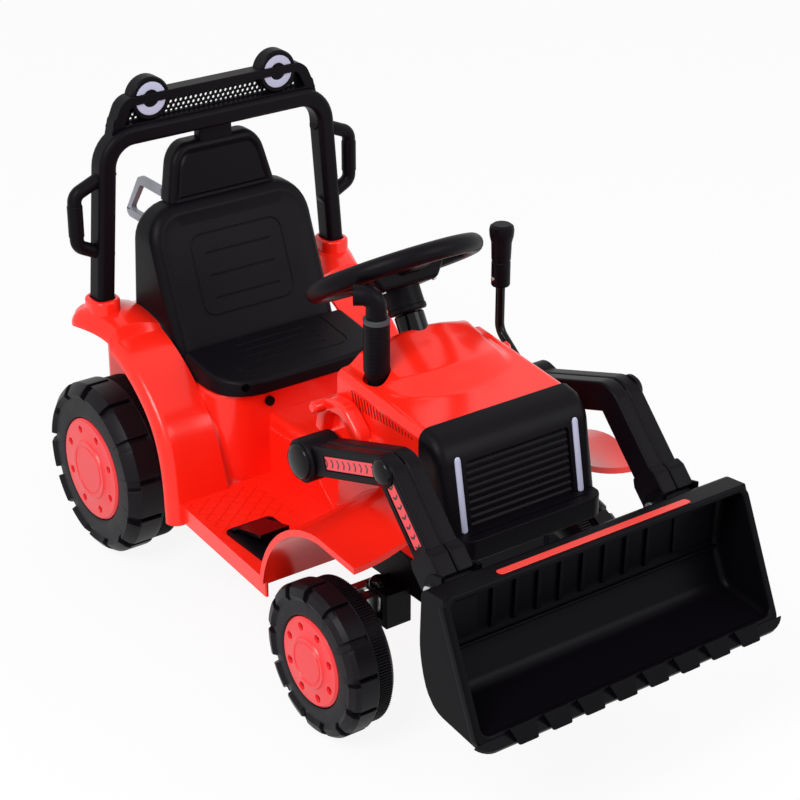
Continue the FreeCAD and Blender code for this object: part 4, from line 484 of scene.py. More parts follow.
def makeHub(end, side):
    sign = 1 if side == "left" else -1
    deep, radius, inner = wheelPart(end + "_hub_" + side, side)
    face, badge, low = deep - hub["step"], radius * hub["badge"], deep - hub["groove"]
    profile = [(0, 0), (radius, 0), (radius, face - 3), (radius - 3, face), (badge + 3, face),
               (badge, face + 1), (badge - 1.5, deep), (badge * 0.86, deep), (badge * 0.84, low),
               (badge * 0.78, low), (badge * 0.76, deep), (0, deep)]
    bm = lathe(profile, inner, (sign, 0, 0), 72)
    pin, wide, sunk = hub["dotPin"], hub["dotRadius"], -hub["dotDepth"]
    cup = [(pin, sunk * 0.4), (pin + 0.8, sunk), (wide - 1, sunk), (wide, 2), (0, 2), (0, sunk * 0.4)]
    cups = []
    for i in range(hub["dots"]):
        turn = math.tau * (i + 0.5) / hub["dots"]
        out = Vector((0, math.cos(turn), math.sin(turn))) * radius * hub["dotRing"]
        cups.append(lathe(cup, inner + out + Vector((sign * face, 0, 0)), (sign, 0, 0), 16))
    bm = carve(bm, together(*cups))
    soften(putPiece("hub_cap_" + end + "_" + side, bm, redHubReflectionTint, "red_hub", end + "_hub_" + side,
                    body=end + "_wheel_" + side), hub["edge"])


for end in ("rear", "front"):
    for side in ("left", "right"):
        makeTyre(end, side)
        makeHub(end, side)
print("wheels done")


# rear fenders: a domed band over the wheel that rises to the collar of the roll bar

fender = {"wall": 5, "lipRound": 17, "lipFall": 3, "across": 10, "arcSteps": 8, "steps": 72, "tailShort": 1,
          "tailTop": 42, "tailTurn": 40, "cornerRound": 30, "endRound": 12, "bendBack": 66,
          "saddleLift": 25, "saddleCore": 16, "saddleReach": 108, "narrow": 19, "narrowFrom": 24,
          "narrowLong": 80, "toeShare": 0.4, "toeTall": 150, "collarWall": 9, "collarRound": 20,
          "collarTall": 30, "collarEdge": 4, "wellGap": 3, "wellRound": 9, "wellDeep": 14, "edge": 1.5}
rearAxle = wheelPart("rear_tyre_left", "left")[2]
rearAxle.x = 0
postLo, postHi = span("roll_bar")
postTube = {"wide": 27, "deep": postHi.y - postLo.y}
postAt = Vector((postHi.x - postTube["wide"] / 2, (postLo.y + postHi.y) / 2, 0))


def aroundPost(gap, corner, z0, z1):  # an upright block round the post, with round corners
    x, y = postTube["wide"] / 2 + gap, postTube["deep"] / 2 + gap
    return slab(rect(postAt.x - x, postAt.x + x, postAt.y - y, postAt.y + y, z0), (0, 0, z1 - z0), corner)


def fenderProfile(inX, outX):  # across the band: flat top, big round lip, and the thin wall's inner side
    bend, wall = fender["lipRound"], fender["wall"]
    flat = outX - bend
    top = [(between(inX, flat, i / fender["across"]), 0) for i in range(fender["across"])]
    turns = [math.pi / 2 * i / fender["arcSteps"] for i in range(fender["arcSteps"] + 1)]
    lip = [(flat + bend * math.sin(t), bend * math.cos(t) - bend) for t in turns]
    under = [(flat + (bend - wall) * math.sin(t),
              (bend - wall) * math.cos(t) - bend) for t in reversed(turns)]
    foot = -bend - fender["lipFall"]
    return top + lip + [(outX, foot), (outX - wall, foot)] + under + [(inX, -wall)]


def rearFender():
    lo, hi = span("rear_fender_left")
    inX, outX, radius = lo.x, hi.x, rearAxle.y - lo.y
    toe, tail = math.asin((lo.z - rearAxle.z) / radius), math.radians(fender["tailTurn"])
    tailY, tailTop = hi.y - fender["tailShort"], hi.z - fender["tailTop"]
    bm = bmesh.new()
    start = []
    for x, h in fenderProfile(inX, outX):
        out = radius + h
        start.append(bm.verts.new(mm(x, rearAxle.y - out * math.cos(toe),
                                     rearAxle.z + out * math.sin(toe))))
    loop = [bm.edges.new(pair) for pair in zip(start, start[1:] + start[:1])]
    swept = bmesh.ops.spin(bm, geom=start + loop, cent=rearAxle / 1000, axis=(-1, 0, 0),
                           angle=math.pi - toe - tail, steps=fender["steps"], use_duplicate=False)
    bmesh.ops.edgeloop_fill(bm, edges=loop)
    bmesh.ops.edgeloop_fill(bm, edges=edgesIn(swept["geom_last"]))
    bendY = rearAxle.y - fender["bendBack"]
    bendZ = rearAxle.z + math.sqrt(radius ** 2 - fender["bendBack"] ** 2)
    bendTurn = math.acos((bendY - rearAxle.y) / radius)
    for v in bm.verts:  # past the bend the top runs level to the tail and swells up to the collar
        x, y, z = v.co * 1000
        turn = math.atan2(z - rearAxle.z, y - rearAxle.y)
        if turn <= bendTurn:
            depth = math.hypot(y - rearAxle.y, z - rearAxle.z) - radius
            share = (bendTurn - turn) / (bendTurn - tail)
            y = between(bendY, tailY, share)
            z = between(bendZ, tailTop, share) + depth
            near = fender["saddleReach"] - math.hypot(x - postAt.x, y - postAt.y)
            z += fender["saddleLift"] * ease(near / (fender["saddleReach"] - fender["saddleCore"]))
            over = y - (tailY - fender["endRound"])
            if over > 0:
                drop = fender["endRound"] - math.sqrt(max(0, fender["endRound"] ** 2 - over ** 2))
                z -= drop * max(0, 1 + depth / fender["lipRound"])
        c = fender["cornerRound"]
        dx, dy = x - (outX - c), y - (tailY - c)
        if dx > 0 and dy > 0:  # the tail's outer corner is round in plan
            k = max(dx, dy) / math.hypot(dx, dy)
            x, y = outX - c + dx * k, tailY - c + dy * k
        slim = fender["narrow"] * ease((tailY - fender["narrowFrom"] - y) / fender["narrowLong"])
        slim *= between(fender["toeShare"], 1, ease((z - lo.z) / fender["toeTall"]))
        x -= slim * (x - inX) / (outX - inX)
        v.co = mm(x, y, z)
    outwards(bm)
    collar = aroundPost(fender["collarWall"], fender["collarRound"], hi.z - fender["collarTall"], hi.z)
    roundEdges(collar, fender["collarEdge"], lambda e: middle(e).z > hi.z - 1, 4)
    well = aroundPost(fender["wellGap"] / 2, fender["wellRound"], hi.z - fender["wellDeep"], hi.z + 10)
    return together(bm, carve(collar, well))


for side in ("left", "right"):
    soften(putPiece("fender_rear_" + side, forSide(rearFender(), side), redShell, "red_shell",
                    "rear_fender_" + side), fender["edge"])


# console below the seat and the floor with its tunnel

console = {"frontRound": 52, "rearRound": 26, "edge": 8, "wall": 5, "deckFall": 40, "heelUp": 22,
           "heelIn": 54}
lo, hi = span("seat_console")
seatLow = span("seat_pan")[0].z
backLo, backHi = span("seat_back")


def consoleForm(w):  # the console's block, drawn in by w for its hollow
    bm = prism([(lo.y + w, lo.z - w), (lo.y + w, seatLow - w), (backLo.y + w, seatLow - w),
                (backHi.y - 1, hi.z - w), (hi.y - w, hi.z - console["deckFall"] - w),
                (hi.y - w, lo.z + console["heelUp"]), (hi.y - console["heelIn"] - 0.8 * w, lo.z - w)],
               lo.x + w, hi.x - w)
    roundEdges(bm, console["frontRound"] - w, lambda e: along(e, 2) > 0.9 and middle(e).y < lo.y + w + 1, 8)
    roundEdges(bm, console["rearRound"], lambda e: along(e, 2) > 0.9 and middle(e).y > hi.y - w - 1, 5)
    return bm


bm = roundEdges(consoleForm(0), console["edge"], lambda e: middle(e).z > lo.z + 4)
putPiece("console_shell", carve(bm, consoleForm(console["wall"])), redShell, "red_shell", "seat_console")

board = {"low": 166, "top": 172, "rim": 4, "edge": 2.5, "setBack": 10, "taper": 16, "dashHalf": 118,
         "dash": 6, "dashTop": 254, "dashEdge": 2}
tread = {"groove": 1.6, "deep": 1.2, "half": 70, "lean": 38, "pitch": 22, "x": 152, "y": 120, "from": 70,
         "to": 172, "reach": 225}
tunnel = {"half": 58, "low": 34, "wall": 5, "edge": 10, "ribs": 20, "ribPitch": 6, "ribHalf": 50,
          "ribZ": 212, "ribLean": 40, "ribFrom": 10}
lo, hi = span("floor_pan")
boardFront, boardTop = lo.y + board["setBack"], board["top"]
bm = block((lo.x, boardFront, board["low"]), (hi.x, hi.y, boardTop))
for x0, x1 in ((lo.x, lo.x + board["rim"]), (hi.x - board["rim"], hi.x)):
    addTo(bm, block((x0, boardFront, lo.z), (x1, hi.y, boardTop)))
for v in bm.verts:  # the board is a little narrower at the console
    if v.co.y * 1000 > hi.y - 1:
        v.co.x *= 1 - board["taper"] / hi.x
grooves = []
for sign in (-1, 1):
    for lean in (-1, 1):
        for i in range(-4, 5):
            line = block((-tread["half"], -tread["groove"] / 2, -tread["deep"]),
                         (tread["half"], tread["groove"] / 2, 2))
            spot = shift(sign * tread["x"], tread["y"] + i * tread["pitch"], boardTop)
            grooves.append(placed(line, spot @ tilt(tread["lean"] * lean, "Z")))
window = block((-tread["reach"], tread["from"], boardTop - 12),
               (tread["reach"], tread["to"], boardTop + 18))
bm = carve(outwards(bm), carve(together(*grooves), window, "INTERSECT"))
roundEdges(bm, board["edge"], lambda e: middle(e).x < lo.x + 1 or middle(e).x > hi.x - 1)
half, top, wall = tunnel["half"], hi.z - tunnel["low"], tunnel["wall"]
duct = block((-half, lo.y, 160), (half, hi.y, top))
roundEdges(duct, tunnel["edge"], lambda e: middle(e).z > top - 1 and along(e, 1) > 0.9, 5)
duct = carve(duct, block((wall - half, lo.y - 20, 150), (half - wall, hi.y + 10, top - wall)))
dash = block((-board["dashHalf"], lo.y, board["low"]),
             (board["dashHalf"], lo.y + board["dash"], board["dashTop"]))
ribs = []
for sign in (-1, 1):
    for i in range(tunnel["ribs"]):
        rib = block((-1.6, -tunnel["ribHalf"], -1), (1.6, tunnel["ribHalf"], 1))
        spot = shift(sign * half, hi.y - tunnel["ribFrom"] - i * tunnel["ribPitch"], tunnel["ribZ"])
        ribs.append(placed(rib, spot @ tilt(tunnel["ribLean"], "X")))
bm = together(bm, duct, roundEdges(dash, board["dashEdge"]), *ribs)
putPiece("floor_shell", bm, redShell, "red_shell", "floor_pan")

bezel = {"side": 8, "front": 30, "back": 5, "tall": 3, "gap": 2.5, "corner": 8, "edge": 1.2, "lap": 1}
lo, hi = span("accelerator_pedal")


def pedalHole(gap, z0, z1):
    return block((lo.x - gap, lo.y - gap, z0), (hi.x + gap, hi.y + gap, z1))


bm = slab(rect(lo.x - bezel["side"], hi.x + bezel["side"], lo.y - bezel["front"], hi.y + bezel["back"],
               boardTop), (0, 0, bezel["tall"]), bezel["corner"])
bm = carve(bm, pedalHole(bezel["gap"], boardTop - 12, boardTop + 28))
roundEdges(bm, bezel["edge"], lambda e: middle(e).z > boardTop + 1)
addTo(bm, pedalHole(bezel["gap"] + bezel["lap"], boardTop - 1, boardTop + 0.2))
putPiece("pedal_bezel", bm, blackShell, "black_shell")

nodeEdge = {"accelerator_pedal": 1.5, "power_button": 0.8, "charge_socket": 0.8, "front_axle_housing": 2.5,
            "knuckle_left": 1.5, "knuckle_right": 1.5, "kingpins": 1.5, "tie_rod": 0.8,
            "rear_carry_loop": 1.5, "bucket_bolts": 0.8, "battery": 3, "gearboxes": 2}
for name, width in nodeEdge.items():
    softenNode(name, width)
for name in ("accelerator_pedal", "kingpins"):
    cadNodes[name].material_slots[0].material = capBlack
print("floor, console and rear fenders done")


# hood with its raised middle, and the front fenders

hood = {"shoulder": 12, "cols": 84, "rows": 72, "backLow": 35, "noseLow": 53, "topHalf": (70, 82),
        "footHalf": (98, 106), "noseFull": 34, "noseZero": 48, "noseCurve": 18, "peak": (11, 35),
        "crown": 0.45, "backEdge": 8, "backDrop": 0.1, "backLean": 12, "leanFrom": 44, "wellGap": 0.8,
        "wellDeep": 3, "edge": 2}
lo, hi = span("hood")


def hoodTop(x, y):  # height of the hood: level top, soft raised middle, round shoulders
    share = (y - lo.y) / (hi.y - lo.y)
    z = between(hi.z - hood["noseLow"], hi.z - hood["backLow"], share)
    full, zero, lift = [between(*hood[key], share) for key in ("topHalf", "footHalf", "peak")]
    front = lo.y + hood["noseZero"] + hood["noseCurve"] * (x / full) ** 2
    lift *= 1 - hood["crown"] * (x / full) ** 2
    lift *= ease((zero - abs(x)) / (zero - full)) * ease((y - front) / hood["noseFull"])
    lift *= 1 - hood["backDrop"] * ease((y - hi.y + hood["backEdge"]) / hood["backEdge"])
    over = abs(x) - (hi.x - hood["shoulder"])
    if over > 0:
        z -= hood["shoulder"] - math.sqrt(max(0, hood["shoulder"] ** 2 - over ** 2))
    return z + lift


bm = bmesh.new()
bmesh.ops.create_grid(bm, x_segments=hood["cols"], y_segments=hood["rows"], size=1)
for v in bm.verts:
    x = math.sin(v.co.x * math.pi / 2)  # closer columns over the shoulders
    y = between(lo.y, hi.y, (v.co.y + 1) / 2)
    lean = hood["backLean"] * ease((y - hi.y + hood["leanFrom"]) / hood["leanFrom"])
    lean *= ease(hood["footHalf"][1] / hi.x / max(abs(x), 0.01) - 0.8)
    v.co = mm(x * hi.x, y - lean, hoodTop(x * hi.x, y))
skirt = edgesIn(bmesh.ops.extrude_edge_only(bm, edges=[e for e in bm.edges if e.is_boundary])["geom"])
for v in vertsOf(skirt):
    v.co.z = lo.z / 1000
    if v.co.y > (hi.y - hood["backLean"] - 0.5) / 1000 and abs(v.co.x) < (hi.x - 0.5) / 1000:
        v.co.y = hi.y / 1000
bmesh.ops.edgeloop_fill(bm, edges=[e for e in bm.edges if e.is_boundary])
outwards(bm)
stackLo, stackHi = span("exhaust_stack")
stackAt = Vector(((stackLo.x + stackHi.x) / 2, (stackLo.y + stackHi.y) / 2, 0))
stackRadius = (stackHi.x - stackLo.x) / 2
well = roundBar(stackRadius + hood["wellGap"], stackLo.z - hood["wellDeep"], hi.z, stackAt, upZ, 40)
soften(putPiece("hood_shell", carve(bm, well), redShell, "red_shell", "hood"), hood["edge"], 3, 35)

slit = {"count": 20, "pitch": 6.6, "tall": 20, "least": 3, "lean": -16, "drop": 24, "from": 36, "half": 1.1,
        "in": 2, "out": 0.4, "edge": 0.5}
slits = []
for sign in (-1, 1):
    for i in range(slit["count"]):  # slits that shrink to dots towards the nose
        tall = slit["tall"] * (1 - i / slit["count"]) + slit["least"]
        y = hi.y - slit["from"] - i * slit["pitch"]
        z = hoodTop(hi.x - hood["shoulder"], y) - slit["drop"] + (slit["tall"] - tall) / 2
        dent = block((-slit["in"], -slit["half"], -tall / 2), (slit["out"], slit["half"], tall / 2))
        spot = shift(sign * hi.x, y, z) @ Matrix.Diagonal((sign, 1, 1, 1)) @ tilt(slit["lean"], "X")
        slits.append(placed(roundEdges(dent, slit["edge"]), spot))
# the slits are thin plates standing a little proud of the hood's sides, and their dark red is painted shade
putPiece("hood_slits", outwards(together(*slits)), slitShadeRed, "red_shell")

arch = {"lip": 9, "thick": 5, "rise": 34, "riseLong": 120, "strips": 10, "steps": 16, "edge": 2.2,
        "crownAhead": 28, "radius": 148, "flatSteps": 4, "flatFall": 6}


def frontFender():
    lo, hi = span("front_fender_left")
    inX, outX = lo.x, hi.x
    crown = Vector((0, wheelPart("front_tyre_left", "left")[2].y - arch["crownAhead"], hi.z))
    foot = Vector((0, hi.y, lo.z))
    run = foot - crown
    down = Vector((0, run.z, -run.y)).normalized()
    centre = (crown + foot) / 2 + down * math.sqrt(arch["radius"] ** 2 - (run.length / 2) ** 2)
    bm = bmesh.new()
    first = bm.verts.new(mm(outX, foot.y, foot.z))
    swept = bmesh.ops.spin(bm, geom=[first], cent=centre / 1000, axis=acrossX, steps=arch["steps"],
                           angle=2 * math.asin(run.length / 2 / arch["radius"]), use_duplicate=False)
    last = vertsIn(swept["geom_last"])[0]
    ahead = mm(0, lo.y - crown.y, -arch["flatFall"]) / arch["flatSteps"]
    for i in range(arch["flatSteps"]):
        last = bmesh.ops.extrude_vert_indiv(bm, verts=[last])["verts"][0]
        bmesh.ops.translate(bm, verts=[last], vec=ahead)
    edges = bm.edges[:]
    for i in range(arch["strips"]):  # strip by strip towards the hood, rising
        edges = edgesIn(bmesh.ops.extrude_edge_only(bm, edges=edges)["geom"])
        bmesh.ops.translate(bm, verts=vertsOf(edges), vec=mm((inX - outX) / arch["strips"], 0, 0))
    for v in bm.verts:
        share = (outX - v.co.x * 1000) / (outX - inX)
        front = max(0, min(1, (foot.y - v.co.y * 1000) / arch["riseLong"]))
        v.co.z += arch["rise"] / 1000 * share ** 2 * front
    bmesh.ops.recalc_face_normals(bm, faces=bm.faces)
    if sum(f.normal.z for f in bm.faces) < 0:
        bmesh.ops.reverse_faces(bm, faces=bm.faces)
    rim = [e for e in bm.edges if e.is_boundary and (middle(e).x > outX - 0.1 or middle(e).y < lo.y + 0.5)]
    for v in vertsIn(bmesh.ops.extrude_edge_only(bm, edges=rim)["geom"]):
        fall = (centre - v.co * 1000).yz.normalized() if v.co.y * 1000 > crown.y else Vector((0, -1))
        v.co += mm(0, fall.x * arch["lip"], fall.y * arch["lip"])
    bmesh.ops.solidify(bm, geom=bm.faces[:], thickness=arch["thick"] / 1000)
    return roundEdges(outwards(bm), arch["edge"], None, 3, 50)


for side in ("left", "right"):
    putPiece("fender_front_" + side, forSide(frontFender(), side), redShell, "red_shell",
             "front_fender_" + side)
print("hood and front fenders done")


# seat: hard hollow mouldings with pressed-in lines

def channel(points, place, radius, bend=10):  # a cutter for a pressed-in line, drawn on a flat place
    return placed(tubeAlong([(u, v, 0) for u, v in points], radius, bend, up=upZ, sides=10, steps=5), place)


def frontFace(bm):
    return max((f for f in bm.faces if f.normal.y < -0.5), key=lambda f: f.calc_area())


def sink(bm, face, border, deep):  # a border, and the rest of the face set in
    bmesh.ops.inset_region(bm, faces=[face], thickness=border / 1000, depth=-deep / 1000,
                           use_even_offset=True)


seatPan = {"frontRound": 60, "rearRound": 6, "fall": 15, "edge": 14, "underEdge": 5, "line": 1.7,
           "uHalf": 93, "uFront": 34, "uBack": 8, "uBend": 16, "bars": 4, "barHalf": 62, "barStart": 52,
           "barPitch": 16, "hole": 6, "holeAt": (33, 9, 15), "holeWay": (-0.35, -0.9, 0.1)}
lo, hi = span("seat_pan")
bm = flatFace(rect(lo.x, hi.x, lo.y, hi.y, lo.z), [seatPan["frontRound"]] * 2 + [seatPan["rearRound"]] * 2)
deep = hi.y - lo.y
for v in pull(bm, bm.faces[:], (0, 0, hi.z - lo.z)):  # the top falls towards the front
    v.co.z -= seatPan["fall"] / 1000 * (hi.y - v.co.y * 1000) / deep
outwards(bm)
roundEdges(bm, seatPan["edge"], lambda e: middle(e).z > lo.z + 15 and along(e, 2) < 0.5, 6)
roundEdges(bm, seatPan["underEdge"], lambda e: middle(e).z < lo.z + 1)
place = facing((0, lo.y, hi.z - seatPan["fall"] + 0.5), (0, deep, seatPan["fall"]))
u, v0, v1 = seatPan["uHalf"], seatPan["uFront"], deep - seatPan["uBack"]
lines = [channel([(-u, v1), (-u, v0), (u, v0), (u, v1)], place, seatPan["line"], seatPan["uBend"])]
for i in range(seatPan["bars"]):
    v = seatPan["barStart"] + i * seatPan["barPitch"]
    lines.append(channel([(-seatPan["barHalf"], v), (seatPan["barHalf"], v)], place, seatPan["line"]))
bm = carve(bm, together(*lines))
bm = carve(bm, roundBar(seatPan["hole"], -10, 18, lo + Vector(seatPan["holeAt"]), seatPan["holeWay"], 18))
putPiece("seat_cushion_shell", bm, blackShell, "black_shell", "seat_pan")

seatBack = {"shoulder": 50, "frontEdge": 15, "rearEdge": 12, "border": 15, "sink": 4, "line": 1.6,
            "panelHalf": 76, "panelLow": 70, "panelHigh": 188, "panelBend": 18, "barHalf": 54,
            "bars": (94, 127, 160), "topAhead": 9, "topIn": 12, "kneeUp": 56}
lo, hi = backLo, backHi
headLo, headHi = span("headrest")
frontTop = headLo.y - seatBack["topAhead"]
bm = prism([(lo.y, lo.z), (frontTop, hi.z), (hi.y - seatBack["topIn"], hi.z),
            (hi.y, lo.z + seatBack["kneeUp"])], lo.x, hi.x)
roundEdges(bm, seatBack["shoulder"], lambda e: middle(e).z > hi.z - 1 and along(e, 1) > 0.9, 8)


def onFront(e):
    m = middle(e)
    return abs((m.y - lo.y) - (m.z - lo.z) * (frontTop - lo.y) / (hi.z - lo.z)) < 0.5


def onRear(e):
    return not onFront(e) and middle(e).z > lo.z + 60 and middle(e).y > hi.y - 20


roundEdges(bm, seatBack["frontEdge"], lambda e: onFront(e) and middle(e).z > lo.z + 1, 6, 20)
roundEdges(bm, seatBack["rearEdge"], onRear, 4)
sink(bm, frontFace(bm), seatBack["border"], seatBack["sink"])
place = facing((0, lo.y, lo.z), (0, frontTop - lo.y, hi.z - lo.z)) @ shift(0, 0, 0.4 - seatBack["sink"])
w, v0, v1 = seatBack["panelHalf"], seatBack["panelLow"], seatBack["panelHigh"]
lines = [channel([(0, v0), (w, v0), (w, v1), (-w, v1), (-w, v0), (-0.5, v0)], place, seatBack["line"],
                 seatBack["panelBend"])]
for v in seatBack["bars"]:
    lines.append(channel([(-seatBack["barHalf"], v), (seatBack["barHalf"], v)], place, seatBack["line"]))
putPiece("seat_back_shell", carve(bm, together(*lines)), blackShell, "black_shell", "seat_back")

headrest = {"taper": 0.2, "shoulder": 30, "edge": 9, "frontLean": 14, "rearLean": 12, "border": 4,
            "sink": 2, "slope": 3, "swell": 3}
lo, hi = headLo, headHi
bm = prism([(lo.y, lo.z), (lo.y + headrest["frontLean"], hi.z), (hi.y, hi.z),
            (hi.y - headrest["rearLean"], lo.z)], lo.x, hi.x)
roundEdges(bm, headrest["shoulder"], lambda e: middle(e).z > hi.z - 1 and along(e, 1) > 0.9, 8)
for v in bm.verts:
    v.co.x *= 1 - headrest["taper"] * (v.co.z * 1000 - lo.z) / (hi.z - lo.z)
roundEdges(bm, headrest["edge"], lambda e: middle(e).z > lo.z + 1, 5, 20)
front = frontFace(bm)
sink(bm, front, headrest["border"], headrest["sink"])
sink(bm, front, headrest["slope"], -headrest["swell"])
putPiece("headrest_shell", bm, blackShell, "black_shell", "headrest")
print("seat done")


# roll bar, grab handles, light bar

hoop = {"corner": 8, "bend": 44, "lean": 18, "neckWide": 24, "neckDeep": 28, "neckCorner": 5, "neckUp": 8,
        "strutHalf": 27, "strutFront": 14, "strutDeep": 20, "strutEdge": 4, "strutFoot": 6}
lo, hi = postLo, postHi
collarTop = span("rear_fender_left")[1].z
postX, postY = postAt.x, postAt.y
topX, topZ = postX - hoop["lean"], hi.z - postTube["wide"] / 2
footZ = collarTop - 2
bm = tubeAlong([(-postX, postY, footZ), (-topX, postY, topZ), (topX, postY, topZ), (postX, postY, footZ)],
               (postTube["wide"], postTube["deep"], hoop["corner"]), hoop["bend"], steps=10)
for sign in (-1, 1):
    addTo(bm, tubeAlong([(sign * postX, postY, lo.z), (sign * postX, postY, collarTop + hoop["neckUp"])],
                        (hoop["neckWide"], hoop["neckDeep"], hoop["neckCorner"]), 1))
strutY = lo.y + hoop["strutFront"]
strut = block((-hoop["strutHalf"], strutY, headHi.z - hoop["strutFoot"]),
              (hoop["strutHalf"], strutY + hoop["strutDeep"], topZ))
addTo(bm, roundEdges(strut, hoop["strutEdge"]))
putPiece("roll_hoop", bm, blackShell, "black_shell", "roll_bar")

handle = {"radius": 10, "bend": 16, "topIn": 62, "lowIn": 52, "drop": 26, "sleeve": 1, "sleeveFrom": 14}
lo, hi = span("grab_handles")
radius = handle["radius"]
outX = hi.x - radius - handle["sleeve"]
high, low = hi.z - radius, lo.z + radius
rails = []
for sign in (-1, 1):
    path = [(outX - handle["topIn"], high), (outX, high - handle["drop"]), (outX, low + handle["drop"]),
            (outX - handle["lowIn"], low)]
    rails.append(tubeAlong([(sign * x, postY, z) for x, z in path], radius, handle["bend"], sides=24))
    wide, foot = radius + handle["sleeve"], handle["drop"] + handle["sleeveFrom"]
    long = high - low - 2 * foot
    rails.append(lathe([(radius, 0), (wide, 1), (wide, long - 1), (radius, long)],
                       (sign * outX, postY, low + foot), upZ, 24, closed=True))
putPiece("grab_rails", together(*rails), blackShell, "black_shell", "grab_handles")

lightBar = {"ahead": 10, "depth": 24, "corner": 16, "barTall": 13, "endWide": 18, "topIn": 18, "edge": 3,
            "hang": 18, "hangWide": 14, "hangUp": 14, "hangRound": 5, "plate": 3, "plateBack": 4,
            "plateIn": 10}
mesh = {"pitch": 8.2, "radius": 2.6, "rows": 4, "rowPitch": 6.4, "first": 5, "in": 24, "slope": 0.45}
lo, hi = span("light_bar_panel")
y0, deep, edge = lo.y - lightBar["ahead"], lightBar["depth"], lightBar["edge"]
wideLow, wideHigh = hi.x, hi.x - lightBar["topIn"]


def upright(low, high, z0, z1, y, move, rounds):  # a panel that narrows upwards, drawn backwards
    return slab([(-low, y, z0), (low, y, z0), (high, y, z1), (-high, y, z1)], (0, move, 0), rounds)


bm = upright(wideLow, wideHigh, lo.z - 2, hi.z, y0, deep, [0, 0, lightBar["corner"], lightBar["corner"]])
end = lightBar["endWide"]
bm = carve(bm, upright(wideLow - end, wideHigh - end + 6, lo.z + 1, hi.z - lightBar["barTall"], y0 - 5,
                       deep + 10, [2, 2, 8, 8]))
roundEdges(bm, edge, lambda e: along(e, 1) < 0.5, 3, 50)
for sign in (-1, 1):  # the ends reach down over the corners of the hoop
    x0, x1 = sign * (wideLow - lightBar["hangWide"]), sign * (wideLow + 4)
    topZ, lowZ = lo.z + lightBar["hangUp"], lo.z - lightBar["hang"]
    hang = slab([(x0, y0 + 2, topZ), (x1 - sign * 8, y0 + 2, topZ), (x1, y0 + 2, lowZ),
                 (x0, y0 + 2, lowZ + 10)], (0, deep - 4, 0), lightBar["hangRound"])
    addTo(bm, roundEdges(hang, edge, None, 3, 50))
plateX, plateY = wideLow - lightBar["plateIn"], postY + lightBar["plateBack"]
plate = block((-plateX, plateY, lo.z - 2), (plateX, plateY + lightBar["plate"], hi.z - 6))
for v in plate.verts:
    if v.co.z * 1000 > lo.z + 10:
        v.co.x *= (wideHigh - 6) / plateX
drills = []
for row in range(mesh["rows"]):
    z = lo.z + mesh["first"] + row * mesh["rowPitch"]
    count = int((wideLow - mesh["in"] - (z - lo.z) * mesh["slope"]) / mesh["pitch"])
    for i in range(-count, count):
        drill = bmesh.new()
        bmesh.ops.create_cone(drill, cap_ends=True, segments=8, radius1=mesh["radius"] / 1000,
                              radius2=mesh["radius"] / 1000, depth=0.02)
        x = (i + (0.25 if row % 2 else 0.75)) * mesh["pitch"]
        drills.append(placed(drill, shift(x, plateY, z) @ tilt(90, "X")))
addTo(bm, carve(plate, together(*drills)))
putPiece("light_bar", bm, blackShell, "black_shell", "light_bar_panel")

lamp = {"lensIn": 12.5, "lensOut": 24, "sink": 3, "backRound": 5, "gap": 0.2, "lensEdge": 1.5}
lampLo, lampHi = span("roof_lamp_housings")
radius = (lampHi.z - lampLo.z) / 2
tall = lampHi.y - span("roof_lamp_lenses")[0].y
small, large, sunk, gap = lamp["lensIn"], lamp["lensOut"], tall - lamp["sink"], lamp["gap"]
cans, rings = [], []
for sign in (-1, 1):
    spot = (sign * (lampHi.x - radius), lampHi.y, (lampHi.z + lampLo.z) / 2)
    cans.append(lathe([(0, 0), (radius - lamp["backRound"], 0), (radius, lamp["backRound"]),
                       (radius, tall - 3), (radius - 2, tall), (large + 1, tall), (large, sunk),
                       (small, sunk), (small - lamp["lensEdge"], tall), (0, tall)], spot, (0, -1, 0), 56))
    rings.append(lathe([(small + gap, sunk), (large - gap, sunk), (large - gap, tall - 0.6),
                        (large - lamp["lensEdge"], tall), (small + lamp["lensEdge"], tall),
                        (small + gap, tall - 0.6)], spot, (0, -1, 0), 56, closed=True))
putPiece("roof_lamp_cans", together(*cans), blackShell, "black_shell", "roof_lamp_housings")
putPiece("roof_lamp_rings", together(*rings), lensWhite, "lens_white", "roof_lamp_lenses")
print("roll bar and lights done")


# steering wheel, column and boot

wheel = {"tube": 13, "sides": 18, "steps": 72, "rimIn": 5, "padHalf": 66, "padLowHalf": 44,
         "padLowDeep": 0.8, "padUp": 4, "padDown": 28, "padNear": 36, "padFar": 46, "padEdge": 6, "hub": 26,
         "hubLong": 32, "screw": 3.2, "screwAt": ((-40, -22), (40, -22), (-40, 28), (40, 28))}
columnFoot, axis = jointOf("steering_turn")
lo, hi = span("steering_wheel")
centre = Vector((0, (lo.y + hi.y) / 2, (lo.z + hi.z) / 2))
centre = columnFoot + axis * (centre - columnFoot).dot(axis)
rim = (hi.x - lo.x) / 2 - wheel["tube"] - wheel["rimIn"]
bm = bmesh.new()
bmesh.ops.create_circle(bm, segments=wheel["sides"], radius=wheel["tube"] / 1000)
placed(bm, facing(centre + acrossX * rim, axis))
bmesh.ops.spin(bm, geom=bm.verts[:] + bm.edges[:], cent=centre / 1000, axis=axis, angle=math.tau,
               steps=wheel["steps"], use_merge=True, use_duplicate=False)
outwards(bm)
disc = facing(centre, axis.cross(acrossX))
down = -wheel["padDown"]
pad = block((-wheel["padHalf"], -wheel["padNear"], down),
            (wheel["padHalf"], wheel["padFar"], wheel["padUp"]))
for v in pad.verts:  # the pad narrows downwards
    if v.co.z < 0:
        v.co.x *= wheel["padLowHalf"] / wheel["padHalf"]
        v.co.y *= wheel["padLowDeep"]
roundEdges(pad, wheel["padEdge"], None, 4)
wide, hubLow = wheel["hub"], down - wheel["hubLong"]
